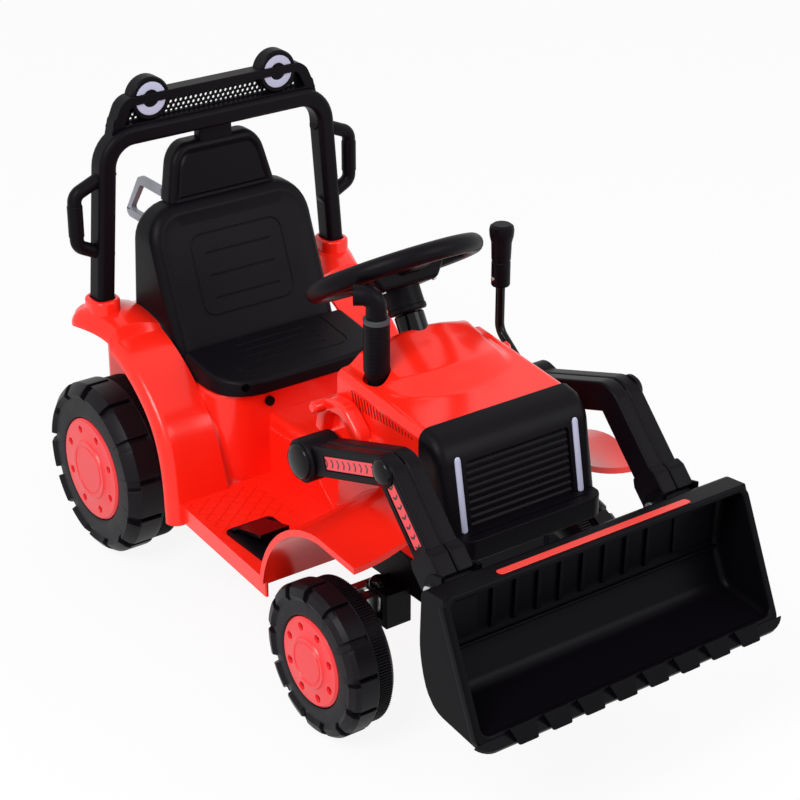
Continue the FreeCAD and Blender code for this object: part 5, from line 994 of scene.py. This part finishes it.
hubRod = lathe([(0, hubLow), (wide - 2, hubLow), (wide, hubLow + 2), (wide, hubLow + 7),
                (wide - 1, hubLow + 8), (wide - 1, down + 6), (0, down + 6)], (0, 0, 0), upZ, 40)
spokes = [tubeAlong([(sign * 40, 4, -8), (sign * (rim - 2), 6, -2)], (36, 18, 5), 1, up=(0, 1, 0))
          for sign in (-1, 1)]
spokes.append(tubeAlong([(0, -24, -8), (0, -rim + 2, 0)], (34, 14, 5), 1))
for extra in [pad, hubRod] + spokes:
    addTo(bm, placed(extra, disc))
putPiece("wheel_rim_and_pad", bm, blackShell, "black_shell", "steering_wheel", body="steering")
head = [(0, 0), (wheel["screw"], 0), (wheel["screw"] - 0.6, -1.6), (0, -1.8)]
screws = [placed(lathe(head, (x, y, down), upZ, 14), disc) for x, y in wheel["screwAt"]]
putPiece("wheel_screws", together(*screws), steel, "steel", body="steering")

boot = {"flange": 31, "neck": 20, "lip": 25, "below": 50, "gap": 1}
base = columnFoot + axis * ((centre - columnFoot).dot(axis) + hubLow - boot["below"])
flange, neck, lip, neckEnd = boot["flange"], boot["neck"], boot["lip"], boot["below"] - boot["gap"]
bm = lathe([(0, 0), (flange - 2, 0), (flange, 3), (flange - 2, 7), (lip + 3, 9), (lip, 12), (neck, 16),
            (neck, neckEnd - 2), (neck - 2, neckEnd), (0, neckEnd)], base, axis, 44)
putPiece("column_boot", bm, capBlack, "black_shell", "steering_boot")
cadNodes["steering_column"].material_slots[0].material = blackShell


# exhaust

pipe = {"rows": 8, "dots": 11, "dotFrom": 26, "dotPitch": 5.6, "dot": 1.3, "turn": -128, "gap": 20}
lo, hi, radius = stackLo, stackHi, stackRadius
bm = lathe([(0, lo.z), (radius * 0.72, lo.z), (radius * 0.72, lo.z + 10), (radius * 0.84, lo.z + 10.5),
            (radius - 1, lo.z + 18), (radius, lo.z + 21), (radius, hi.z - 1.5), (radius - 1.5, hi.z),
            (0, hi.z)], stackAt, upZ, 48)
drills = []
for row in range(pipe["rows"]):  # pairs of rows of dots, a quarter turn apart
    turn = math.radians(pipe["turn"] + (row // 2) * 90 + (-pipe["gap"] if row % 2 else pipe["gap"]))
    out = stackAt + Vector((math.cos(turn), math.sin(turn), 0)) * radius
    for i in range(pipe["dots"]):
        drill = bmesh.new()
        bmesh.ops.create_icosphere(drill, subdivisions=1, radius=pipe["dot"] / 1000)
        drills.append(placed(drill, shift(out.x, out.y, lo.z + pipe["dotFrom"] + i * pipe["dotPitch"])))
putPiece("stack", carve(bm, together(*drills)), blackShell, "black_shell", "exhaust_stack")
lo, hi = span("exhaust_collar")
bm = lathe([(0, lo.z), (radius + 0.4, lo.z), (radius + 0.4, hi.z - 1), (radius - 1, hi.z), (0, hi.z)],
           stackAt, upZ, 48)
putPiece("stack_collar", bm, driveCase, "grey_trim", "exhaust_collar")
elbow = {"radius": 13.5, "bend": 17, "mouth": 29, "turn": 53, "wall": 2.5, "deep": 16}
lo, hi = span("exhaust_elbow")
away = Vector((-math.sin(math.radians(elbow["turn"])), math.cos(math.radians(elbow["turn"])), 0))
corner = stackAt + upZ * (hi.z - elbow["radius"])
bm = tubeAlong([stackAt + upZ * (lo.z - 1), corner, corner + away * elbow["mouth"]], elbow["radius"],
               elbow["bend"], sides=32, steps=12)
mouth = max(bm.faces, key=lambda f: f.calc_center_median().dot(away))
bmesh.ops.inset_region(bm, faces=[mouth], thickness=elbow["wall"] / 1000)
bmesh.ops.translate(bm, verts=mouth.verts, vec=-away * elbow["deep"] / 1000)
putPiece("stack_elbow", bm, blackShell, "black_shell", "exhaust_elbow", smooth=45)
print("steering and exhaust done")


# grille, its light strips and the bumper

grille = {"sideRound": 15, "topRound": 12, "sink": 5, "window": 82, "windowRound": 7, "low": 10, "high": 14,
          "slopeTop": (0, -292, 416), "browIn": 22, "browFall": 4, "edge": 1.5}
louvre = {"rows": 9, "deep": 2.4, "first": 16, "margin": 30, "knobs": 36, "knobPitch": 4.3, "knobUp": 0.62}
strip = {"half": 4.6, "x": 93, "gap": 1.4, "low": 14, "high": 10, "flat": 0.5}
lo, hi = span("grille_frame")
slopeTop, slopeLow = Vector(grille["slopeTop"]), Vector((0, lo.y, lo.z))
bm = prism([(hi.y, lo.z), (hi.y, hi.z), (hi.y - grille["browIn"], hi.z - grille["browFall"]),
            (slopeTop.y, slopeTop.z), (slopeLow.y, slopeLow.z)], lo.x, hi.x)


def onSide(e):
    m = middle(e)
    return along(e, 0) < 0.5 and (m.y < hi.y - 6 and m.z > lo.z + 2 or m.z > hi.z - 3 and m.y < hi.y - 1)


roundEdges(bm, grille["topRound"], lambda e: along(e, 0) > 0.9 and abs(middle(e).z - slopeTop.z) < 1, 5, 10)
roundEdges(bm, grille["sideRound"], onSide, 5)
rise = (slopeTop - slopeLow).length
place = facing(slopeLow, slopeTop - slopeLow)
half, v0, v1, sunk = grille["window"], grille["low"], rise - grille["high"], -grille["sink"]
hole = slab(rect(-half, half, v0, v1, sunk), (0, 0, 30), grille["windowRound"])
bm = carve(bm, placed(hole, place))
slots = []
for sign in (-1, 1):
    ends = [(sign * strip["x"], v, 0) for v in (strip["low"] - 1, rise - strip["high"] + 1)]
    slots.append(placed(tubeAlong(ends, strip["half"] + strip["gap"], 1), place))
bm = carve(bm, together(*slots))
roundEdges(bm, grille["edge"], lambda e: middle(e).y < hi.y - 8, 2, 50)
putPiece("grille_surround", bm, blackShell, "black_shell", "grille_frame")

back = slab(rect(0.5 - half, half - 0.5, v0 + 1, v1 - 1, 0), (0, 0, 1.5), grille["windowRound"] - 1)
rows = [placed(back, place @ shift(0, 0, sunk - 0.6))]
step, deep = (rise - louvre["margin"]) / louvre["rows"], louvre["deep"]
for i in range(louvre["rows"]):
    ridge = prism([(0, 0), (0, deep), (1.4, deep), (4.2, 0.6), (4.2, 0)], 2 - half, half - 2)
    rows.append(placed(ridge, place @ shift(0, louvre["first"] + i * step, sunk + 0.6)))
for i in range(louvre["rows"]):
    for k in range(louvre["knobs"]):
        knob = bmesh.new()
        bmesh.ops.create_cone(knob, cap_ends=True, segments=4, radius1=0.0019, radius2=0.0008, depth=0.0022)
        x = (k + (0.5 if i % 2 else 0) - louvre["knobs"] / 2) * louvre["knobPitch"]
        rows.append(placed(knob, place @ shift(x, louvre["first"] + (i + louvre["knobUp"]) * step,
                                               sunk + 1.6)))
putPiece("grille_louvres", together(*rows), blackShell, "black_shell", "grille_mesh")

strips = []
half, ends = strip["half"], (strip["low"], rise - strip["high"])
for sign in (-1, 1):
    lens = tubeAlong([(0, v, 0) for v in ends], half, 1)
    for v in lens.verts:
        v.co.z *= strip["flat"]
    domes = [lathe([(0, 0), (half, 0), (half * 0.7, 1.6), (0, 2.3)], (0, v, 0), upZ, 20) for v in ends]
    strips.append(placed(together(lens, *domes), place @ shift(sign * strip["x"], 0, -0.6)))
putPiece("front_light_strips", together(*strips), lensWhite, "lens_white", "headlight_strips")

bumper = {"noseRound": 18, "edge": 4, "groove": 3, "grooveIn": 18, "grooveBack": 12, "grooveDeep": 1.5}
lo, hi = span("nose_bumper")
bm = block(lo, hi)
roundEdges(bm, bumper["noseRound"], lambda e: along(e, 2) > 0.9 and middle(e).y < lo.y + 1, 6)
inX, y0 = bumper["grooveIn"], lo.y + bumper["grooveBack"]
bm = carve(bm, block((lo.x + inX, y0, hi.z - bumper["grooveDeep"]),
                     (hi.x - inX, y0 + bumper["groove"], hi.z + 5)))


def onNose(e):
    m = middle(e)
    return m.z > hi.z - 0.2 and along(e, 2) < 0.5 and m.y < lo.y + 8 or m.z < lo.z + 0.2 and m.y < lo.y + 30


putPiece("bumper_ledge", roundEdges(bm, bumper["edge"], onNose), blackShell, "black_shell", "nose_bumper")
print("grille and bumper done")


# loader: brackets, arms, lever and bucket

pivot, bolt = jointOf("loader_lift")[0], jointOf("bucket_tilt")[0]
bracket = {"plate": 9, "plateIn": 3, "rounds": (0, 20, 26, 34, 20, 0), "band": (24, 19, 6), "bandBend": 24,
           "bandRise": 54, "bandBack": 38, "peg": 8.5, "pegLong": 42, "boss": 24, "edge": 3}


def armBracket():
    lo, hi = span("loader_bracket_left")
    face = lo.x + bracket["plate"]
    plate = prism([(hi.y, lo.z), (hi.y, pivot.z + 20), (hi.y - 24, pivot.z + 44), (lo.y + 30, pivot.z + 40),
                   (lo.y, pivot.z + 6), (lo.y, lo.z)], lo.x - bracket["plateIn"], face, bracket["rounds"])
    roundEdges(plate, bracket["edge"], lambda e: middle(e).x > face - 1, 3, 50)
    bandX, topZ = lo.x + bracket["band"][0] / 2 + 1, pivot.z + bracket["bandRise"]
    backY, peg, long = pivot.y + bracket["bandBack"], bracket["peg"], bracket["pegLong"]
    path = [(pivot.y - 46, pivot.z - 8), (pivot.y - 32, pivot.z + 30), (pivot.y - 4, topZ),
            (backY, topZ - 4), (backY + 10, topZ - 44)]
    band = tubeAlong([(bandX, y, z) for y, z in path], bracket["band"], bracket["bandBend"])
    pin = lathe([(0, 0), (peg, 0), (peg, long - 3), (peg - 3, long), (0, long)],
                (lo.x, backY - 2, topZ - 6), acrossX, 24)
    boss = roundBar(bracket["boss"], 0, hi.x - lo.x - 1, (lo.x, pivot.y, pivot.z), acrossX, 40)
    return together(plate, band, pin, boss)


for side in ("left", "right"):
    putPiece("arm_bracket_" + side, forSide(armBracket(), side), redShell, "red_shell",
             "loader_bracket_" + side)

arm = {"tall": 40, "bend": 20, "seam": 1, "corner": 4, "proud": 6, "cuffStart": 0.7, "cuffFull": 0.77,
       "cuffTall": 52, "cuffWide": 4, "cuffShort": 6, "cuffEdge": 3, "stripTall": 20, "stripSink": 2.5,
       "stripShare": ((0.27, 0.88), (0.12, 0.66)), "tip": 21, "core": 2, "elbow": 16}
armLo, armHi = span("loader_arm_left")
capLo, capHi = span("arm_caps")
elbowAt = Vector((0, capLo.y + arm["elbow"], capHi.z - arm["elbow"]))
inX, outX = armLo.x, armHi.x - arm["proud"]
half = (outX - inX) / 2
runs = []
for a, b in ((pivot, elbowAt), (elbowAt, bolt)):  # each run as a flat place, x along it
    way = Vector((0, b.y - a.y, b.z - a.z))
    runs.append((way.length, facing((0, a.y, a.z), acrossX.cross(way), way)))


def onRun(index, outline, x0, x1):  # an outline along a run, drawn across the arm
    return placed(slab([(u, v, x0) for u, v in outline], (0, 0, x1 - x0)), runs[index][1])


def sideBar(index, s0, s1, tall, x0, x1):
    long = runs[index][0]
    return onRun(index, [(long * s0, -tall / 2), (long * s1, -tall / 2), (long * s1, tall / 2),
                         (long * s0, tall / 2)], x0, x1)


def liftArm():
    parts = []
    for x in (inX + half / 2, outX - half / 2):
        path = [(x, spot.y, spot.z) for spot in (pivot, elbowAt, bolt)]
        parts.append(tubeAlong(path, (half - arm["seam"], arm["tall"], arm["corner"]), arm["bend"]))
    sunk = outX - arm["stripSink"]
    pockets = [sideBar(i, *arm["stripShare"][i], arm["stripTall"], sunk, outX + 6) for i in (0, 1)]
    parts[1] = carve(parts[1], together(*pockets))
    long, seamX, gap = runs[1][0], inX + half, arm["seam"] / 2
    s0, s1, s2 = long * arm["cuffStart"], long * arm["cuffFull"], long - arm["cuffShort"]
    low, high = arm["tall"] / 2, arm["cuffTall"] / 2
    cuff = [(s0, -low), (s1, -high), (s2, -high), (s2, high), (s1, high), (s0, low)]
    for x0, x1 in ((inX - 1, seamX - gap), (seamX + gap, outX + arm["cuffWide"])):
        parts.append(roundEdges(onRun(1, cuff, x0, x1), arm["cuffEdge"], None, 3, 20))
    for i in (0, 1):
        parts.append(sideBar(i, 0.02, 0.98, arm["tall"] - 4, seamX - arm["core"], seamX + arm["core"]))
    deep, wide, radius, seat = outX - inX, armHi.x - armLo.x, armHi.y - pivot.y, arm["elbow"] + 3
    parts.append(roundBar(arm["tip"], 0, deep, (inX, bolt.y, bolt.z), acrossX, 36))
    parts.append(lathe([(0, 0), (radius - 2, 0), (radius, 2), (radius, wide - 3), (radius - 3, wide),
                        (0, wide)], (inX, pivot.y, pivot.z), acrossX, 48))
    parts.append(lathe([(0, deep - 4), (seat, deep - 4), (seat, deep + 1), (seat - 2, deep + 2),
                        (0, deep + 2)], (inX, elbowAt.y, elbowAt.z), acrossX, 40))
    return together(*parts)


for side in ("left", "right"):
    putPiece("lift_arm_" + side, forSide(liftArm(), side), blackShell, "black_shell", "loader_arm_" + side,
             body="loader")

cap = {"pivot": 24, "pivotIn": 2, "elbowOut": 1,
       "form": ((1, 0), (1, 0.4), (0.92, 0.68), (0.68, 0.9), (0.3, 0.99))}
domes = []
for sign in (-1, 1):
    for spot, radius, x0, x1 in ((pivot, cap["pivot"], armHi.x - cap["pivotIn"], capHi.x),
                                 (elbowAt, arm["elbow"] + cap["elbowOut"], outX - 1, armHi.x + 2)):
        tall = x1 - x0
        dome = [(0, 0)] + [(radius * r, tall * h) for r, h in cap["form"]] + [(0, tall)]
        domes.append(lathe(dome, (sign * x0, spot.y, spot.z), (sign, 0, 0), 40))
putPiece("arm_dome_caps", together(*domes), capBlack, "black_shell", "arm_caps", body="loader", smooth=60)

film = {"tall": 17, "thick": 0.8, "short": 2, "lift": 0.1}
strips = []
for (long, place), (s0, s1) in zip(runs, arm["stripShare"]):
    strip = bmesh.new()
    bmesh.ops.create_grid(strip, x_segments=1, y_segments=1, size=0.5)
    bmesh.ops.scale(strip, vec=((long * (s1 - s0) - film["short"]) / 1000, film["tall"] / 1000, 1),
                    verts=strip.verts)
    layer = strip.loops.layers.uv.new("strip")
    for f in strip.faces:
        for loop in f.loops:
            loop[layer].uv = (loop.vert.co.x * 1000, loop.vert.co.y * 1000)
    pull(strip, strip.faces[:], (0, 0, film["thick"]))
    spot = shift(long * (s0 + s1) / 2, 0, outX - arm["stripSink"] + film["lift"])
    strips.append(placed(outwards(strip), place @ spot))
strips += [forSide(s, "right") for s in strips]
putPiece("arm_chevron_strips", together(*strips), chevron, "red_trim", "arm_stripes", body="loader")

lever = {"rod": 6.5, "bend": 24, "kneeUp": 58, "footBack": 20, "footUp": 22, "shaft": 8}
gripLo, gripHi = span("lever_grip")
rodLo, rodHi = span("loader_lever")
gripAt = Vector(((gripLo.x + gripHi.x) / 2, (gripLo.y + gripHi.y) / 2, 0))
cross = roundBar(lever["shaft"], 0, rodHi.x - rodLo.x, (rodLo.x, pivot.y, pivot.z), acrossX, 24)
path = [(pivot.y, pivot.z), (pivot.y + lever["footBack"], pivot.z + lever["footUp"]),
        (gripAt.y, pivot.z + lever["kneeUp"]), (gripAt.y, gripLo.z + 10)]
rod = tubeAlong([(gripAt.x, y, z) for y, z in path], lever["rod"], lever["bend"])
putPiece("lever_rod", together(rod, cross), capBlack, "steel", "loader_lever", body="loader")
z0, z1 = gripLo.z, gripHi.z
bm = lathe([(0, z0), (12, z0), (13, z0 + 2), (13, z0 + 34), (12.2, z0 + 35), (12.2, z0 + 37),
            (13.2, z0 + 38), (14, z0 + 62), (16.4, z0 + 72), (17, z1 - 8), (16, z1 - 3), (12, z1), (0, z1)],
           gripAt, upZ, 40)
putPiece("lever_handle", bm, blackShell, "black_shell", "lever_grip", body="loader")
screwAt = gripAt + Vector((-12.6, 0, z0 + 12))
bm = lathe([(0, 0), (3, 0), (3, 1.6), (2, 2.4), (0, 2.6)], screwAt, -acrossX, 14)
putPiece("lever_screw", bm, steel, "steel", body="loader")

bucket = {"wall": 6, "cheek": 7, "backRound": 6.5, "topRound": 14, "caveRound": 9,
          "rounds": (0, 12, 30, 24, 0), "caveRounds": (0, 10, 16, 12, 0, 0), "backLow": 240}
lo, hi = span("bucket_shell")
edgeLo, edgeHi = span("cutting_edge")
stripeLo, stripeHi = span("bucket_stripe")
topFront, topBack = Vector((0, stripeLo.y - 4, hi.z)), Vector((0, stripeHi.y + 9, hi.z - 4))
backLow, floorBack = Vector((0, topBack.y + 4, bucket["backLow"])), Vector((0, topBack.y - 20, lo.z + 10))
floorFront = Vector((0, lo.y, lo.z))
bm = prism([(p.y, p.z) for p in (topFront, topBack, backLow, floorBack, floorFront)], lo.x, hi.x,
           bucket["rounds"])


def onTop(e):
    m = middle(e)
    return along(e, 0) < 0.5 and m.z > topBack.z - 1 and topFront.y + 1 < m.y < topBack.y - 1


def onBack(e):
    m = middle(e)
    return (along(e, 0) < 0.5 and abs(m.x) > hi.x - 1 and m.y > max(floorFront.y + 1, floorBack.y - 2)
            and m.z < topBack.z - 10)


roundEdges(bm, bucket["topRound"], onTop, 6)
roundEdges(bm, bucket["backRound"], onBack, 4, 40)
t, caveX = bucket["wall"], hi.x - bucket["cheek"]
cave = prism([(topFront.y - 30, topFront.z - t), (topBack.y - t, topBack.z - t), (backLow.y - t, backLow.z),
              (floorBack.y - t, floorBack.z + t), (floorFront.y - 12, floorFront.z + t),
              (floorFront.y - 30, topFront.z - 60)], lo.x + bucket["cheek"], caveX, bucket["caveRounds"])
roundEdges(cave, bucket["caveRound"], lambda e: along(e, 0) < 0.5 and abs(middle(e).x) > caveX - 1, 4, 40)
bm = carve(bm, cave)

mouthRim = {"out": 2, "side": 10, "top": 8, "low": 14, "deep": 12, "lift": 2, "corner": 16,
            "holeRounds": (12, 12, 9, 9), "edge": 3}
mouthUp = topFront - floorFront
rimX = hi.x + mouthRim["out"]
holeX = rimX - mouthRim["side"]
rim = slab(rect(-rimX, rimX, -2, mouthUp.length, -mouthRim["deep"]),
           (0, 0, mouthRim["deep"] + mouthRim["lift"]), mouthRim["corner"])
hole = slab(rect(-holeX, holeX, mouthRim["low"], mouthUp.length - mouthRim["top"], -40), (0, 0, 60),
            mouthRim["holeRounds"])
rim = placed(roundEdges(carve(rim, hole), mouthRim["edge"]), facing(floorFront, mouthUp))

ribbing = {"count": 8, "from": -136, "to": 108, "wide": 7, "deep": 5, "high": 318, "low": 246, "edge": 1.2,
           "ledge": 3, "ledgeAt": (322, 240), "panelWide": 66, "panelAt": (-192, 184), "panelLow": 254,
           "panelHigh": 306, "panelEdge": 1.8}
ribs = []
wallY, half = topBack.y - t, ribbing["wide"] / 2
for i in range(ribbing["count"]):  # raised pads between two ledges on the back wall
    x = between(ribbing["from"], ribbing["to"], i / (ribbing["count"] - 1))
    front, high, low = wallY - ribbing["deep"], ribbing["high"], ribbing["low"]
    rib = prism([(wallY + 4, high), (front + 1, high - 4), (front + 3, low + 6), (wallY + 8, low)],
                x - half, x + half)
    ribs.append(roundEdges(rib, ribbing["edge"]))
for z in ribbing["ledgeAt"]:
    ledge = block((-caveX - 1, wallY - ribbing["ledge"], z - 2), (caveX + 1, wallY + 8, z + 2))
    ribs.append(roundEdges(ledge, ribbing["edge"]))
half = ribbing["panelWide"] / 2
for x in ribbing["panelAt"]:  # plain raised panels at both ends
    panel = block((x - half, wallY - 2, ribbing["panelLow"]), (x + half, wallY + 6, ribbing["panelHigh"]))
    ribs.append(roundEdges(panel, ribbing["panelEdge"]))

ear = {"z": 308, "inner": (-8.5, -1.5), "outer": (-4.5, 0.4), "rounds": (0, 10, 8, 8, 10, 0), "edge": 1.5}
rootY, pinY, pinZ = topBack.y + 6, span("bucket_bolts")[1].y, ear["z"]
ears = []
for sign in (-1, 1):
    for x, sides in ((armLo.x, ear["inner"]), (armHi.x, ear["outer"])):
        lug = prism([(rootY, pinZ + 28), (pinY - 4, pinZ + 22), (pinY + 9, pinZ + 8), (pinY + 9, pinZ - 8),
                     (pinY - 4, pinZ - 22), (rootY, pinZ - 32)], sign * (x + sides[0]),
                    sign * (x + sides[1]), ear["rounds"])
        ears.append(roundEdges(lug, ear["edge"]))
putPiece("bucket_pan", together(bm, rim, *ribs, *ears), bucketBlack, "black_shell", "bucket_shell",
         body="bucket")

ribbon = {"deep": 13, "tall": 1.2, "end": 5, "back": 2, "edge": 0.5}
y0, z0 = topFront.y + ribbon["back"], topFront.z
y1, z1 = y0 + ribbon["deep"], z0 + (z0 - topBack.z) / (topFront.y - topBack.y) * ribbon["deep"]
bm = slab([(stripeLo.x, y0, z0), (stripeHi.x, y0, z0), (stripeHi.x, y1, z1), (stripeLo.x, y1, z1)],
          (0, 0, ribbon["tall"]), ribbon["end"])
soften(putPiece("lip_ribbon", bm, redFilm, "red_trim", "bucket_stripe", body="bucket"), ribbon["edge"])

teeth = {"count": 8, "topHalf": 20, "lowHalf": 14, "lean": 3, "thick": 4, "first": 66, "up": 20, "round": 2,
         "edge": 1, "bladeIn": 8, "bladeRound": 16, "bladeEdge": 1.6, "bladeMove": (0, 3, -5)}
top, tip = Vector((0, edgeHi.y + 1, edgeHi.z + 3)), Vector((0, edgeLo.y + 5, edgeLo.z + 2.5))
x0, x1 = edgeLo.x + teeth["bladeIn"], edgeHi.x - teeth["bladeIn"]
blade = slab([(x0, tip.y, tip.z), (x1, tip.y, tip.z), (edgeHi.x, top.y, top.z), (edgeLo.x, top.y, top.z)],
             teeth["bladeMove"], [teeth["bladeRound"]] * 2 + [0, 0])
bm = roundEdges(blade, teeth["bladeEdge"], None, 2)
back = Vector((0, top.y - 4 - edgeLo.y, teeth["up"]))
slant = facing((0, edgeLo.y, edgeLo.z), back)
for i in range(teeth["count"]):
    x = between(edgeLo.x + teeth["first"], edgeHi.x - teeth["first"], i / (teeth["count"] - 1))
    low, high = x + teeth["lean"], teeth["topHalf"]
    tooth = slab([(low - teeth["lowHalf"], 0, 0), (low + teeth["lowHalf"], 0, 0),
                  (x + high, back.length, 0), (x - high, back.length, 0)], (0, 0, -teeth["thick"]),
                 teeth["round"])
    addTo(bm, placed(roundEdges(tooth, teeth["edge"], None, 2), slant))
putPiece("blade_and_teeth", bm, bucketBlack, "black_shell", "cutting_edge", body="bucket")
print("loader done")


# stage, light and camera

studio = {"floor": "#F2F2F3", "floorHalf": 6, "key": 66, "fill": 30, "sky": 0.62, "glow": 0.9}
look = {"target": (99.8, 91.0, 279.6), "place": (-1533, -2157, 1647.5), "roll": 0.111, "lens": 98.4,
        "sensor": 36}

bm = bmesh.new()
bmesh.ops.create_grid(bm, x_segments=2, y_segments=2, size=studio["floorHalf"])
mesh = bpy.data.meshes.new("floor")
bm.to_mesh(mesh)
bm.free()
floor = bpy.data.objects.new("floor", mesh)
scene.collection.objects.link(floor)


def seenRays(tree):  # camera, glossy and transmission rays together
    path = addNode(tree, "LightPath", {}, {})
    glance = addNode(tree, "Math", {"operation": "MAXIMUM"},
                     {0: path.outputs["Is Camera Ray"], 1: path.outputs["Is Glossy Ray"]})
    return addNode(tree, "Math", {"operation": "MAXIMUM"},
                   {0: glance.outputs[0], 1: path.outputs["Is Transmission Ray"]}).outputs[0]


# matt paper sweep that glows a little where it is seen
paper = bpy.data.materials.new("paper_backdrop_matt")
paper.use_nodes = True
tree = paper.node_tree
tree.nodes.clear()
share = addNode(tree, "Math", {"operation": "MULTIPLY"}, {0: seenRays(tree), 1: studio["glow"]})
matt = addNode(tree, "BsdfDiffuse", {}, {"Color": linear(studio["floor"])})
bright = addNode(tree, "Emission", {}, {"Color": (1, 1, 1, 1), "Strength": 1.0})
mixed = addNode(tree, "MixShader", {}, {0: share.outputs[0], 1: matt.outputs[0], 2: bright.outputs[0]})
addNode(tree, "OutputMaterial", {}, {"Surface": mixed.outputs[0]})
floor.data.materials.append(paper)

world = bpy.data.worlds.new("studio")
scene.world = world
world.use_nodes = True
tree = world.node_tree
tree.nodes.clear()
level = addNode(tree, "MapRange", {}, {"Value": seenRays(tree), "To Min": studio["sky"], "To Max": 1.0})
sky = addNode(tree, "Background", {}, {"Color": (1, 1, 1, 1), "Strength": level.outputs[0]})
addNode(tree, "OutputWorld", {}, {"Surface": sky.outputs[0]})


def softbox(name, place, target, size, power):
    light = bpy.data.lights.new(name, "AREA")
    light.shape, light.size, light.energy = "SQUARE", size, power
    obj = bpy.data.objects.new(name, light)
    scene.collection.objects.link(obj)
    obj.location = place
    obj.rotation_euler = (Vector(target) - Vector(place)).to_track_quat("-Z", "Y").to_euler()


softbox("key_light", (-2.2, -1.0, 2.8), (0, 0, 0.3), 1.4, studio["key"])
softbox("fill_light", (1.4, -2.6, 2.0), (0, 0, 0.3), 1.6, studio["fill"])

camera = bpy.data.objects.new("camera", bpy.data.cameras.new("camera"))
scene.collection.objects.link(camera)
camera.location = mm(*look["place"])
aim = (Vector(look["target"]) - Vector(look["place"])).to_track_quat("-Z", "Y")
camera.rotation_mode = "QUATERNION"
camera.rotation_quaternion = aim @ Matrix.Rotation(math.radians(look["roll"]), 3, "Z").to_quaternion()
camera.data.lens, camera.data.sensor_width = look["lens"], look["sensor"]
camera.data.clip_end = 50
scene.camera = camera
scene.view_settings.view_transform = "Standard"
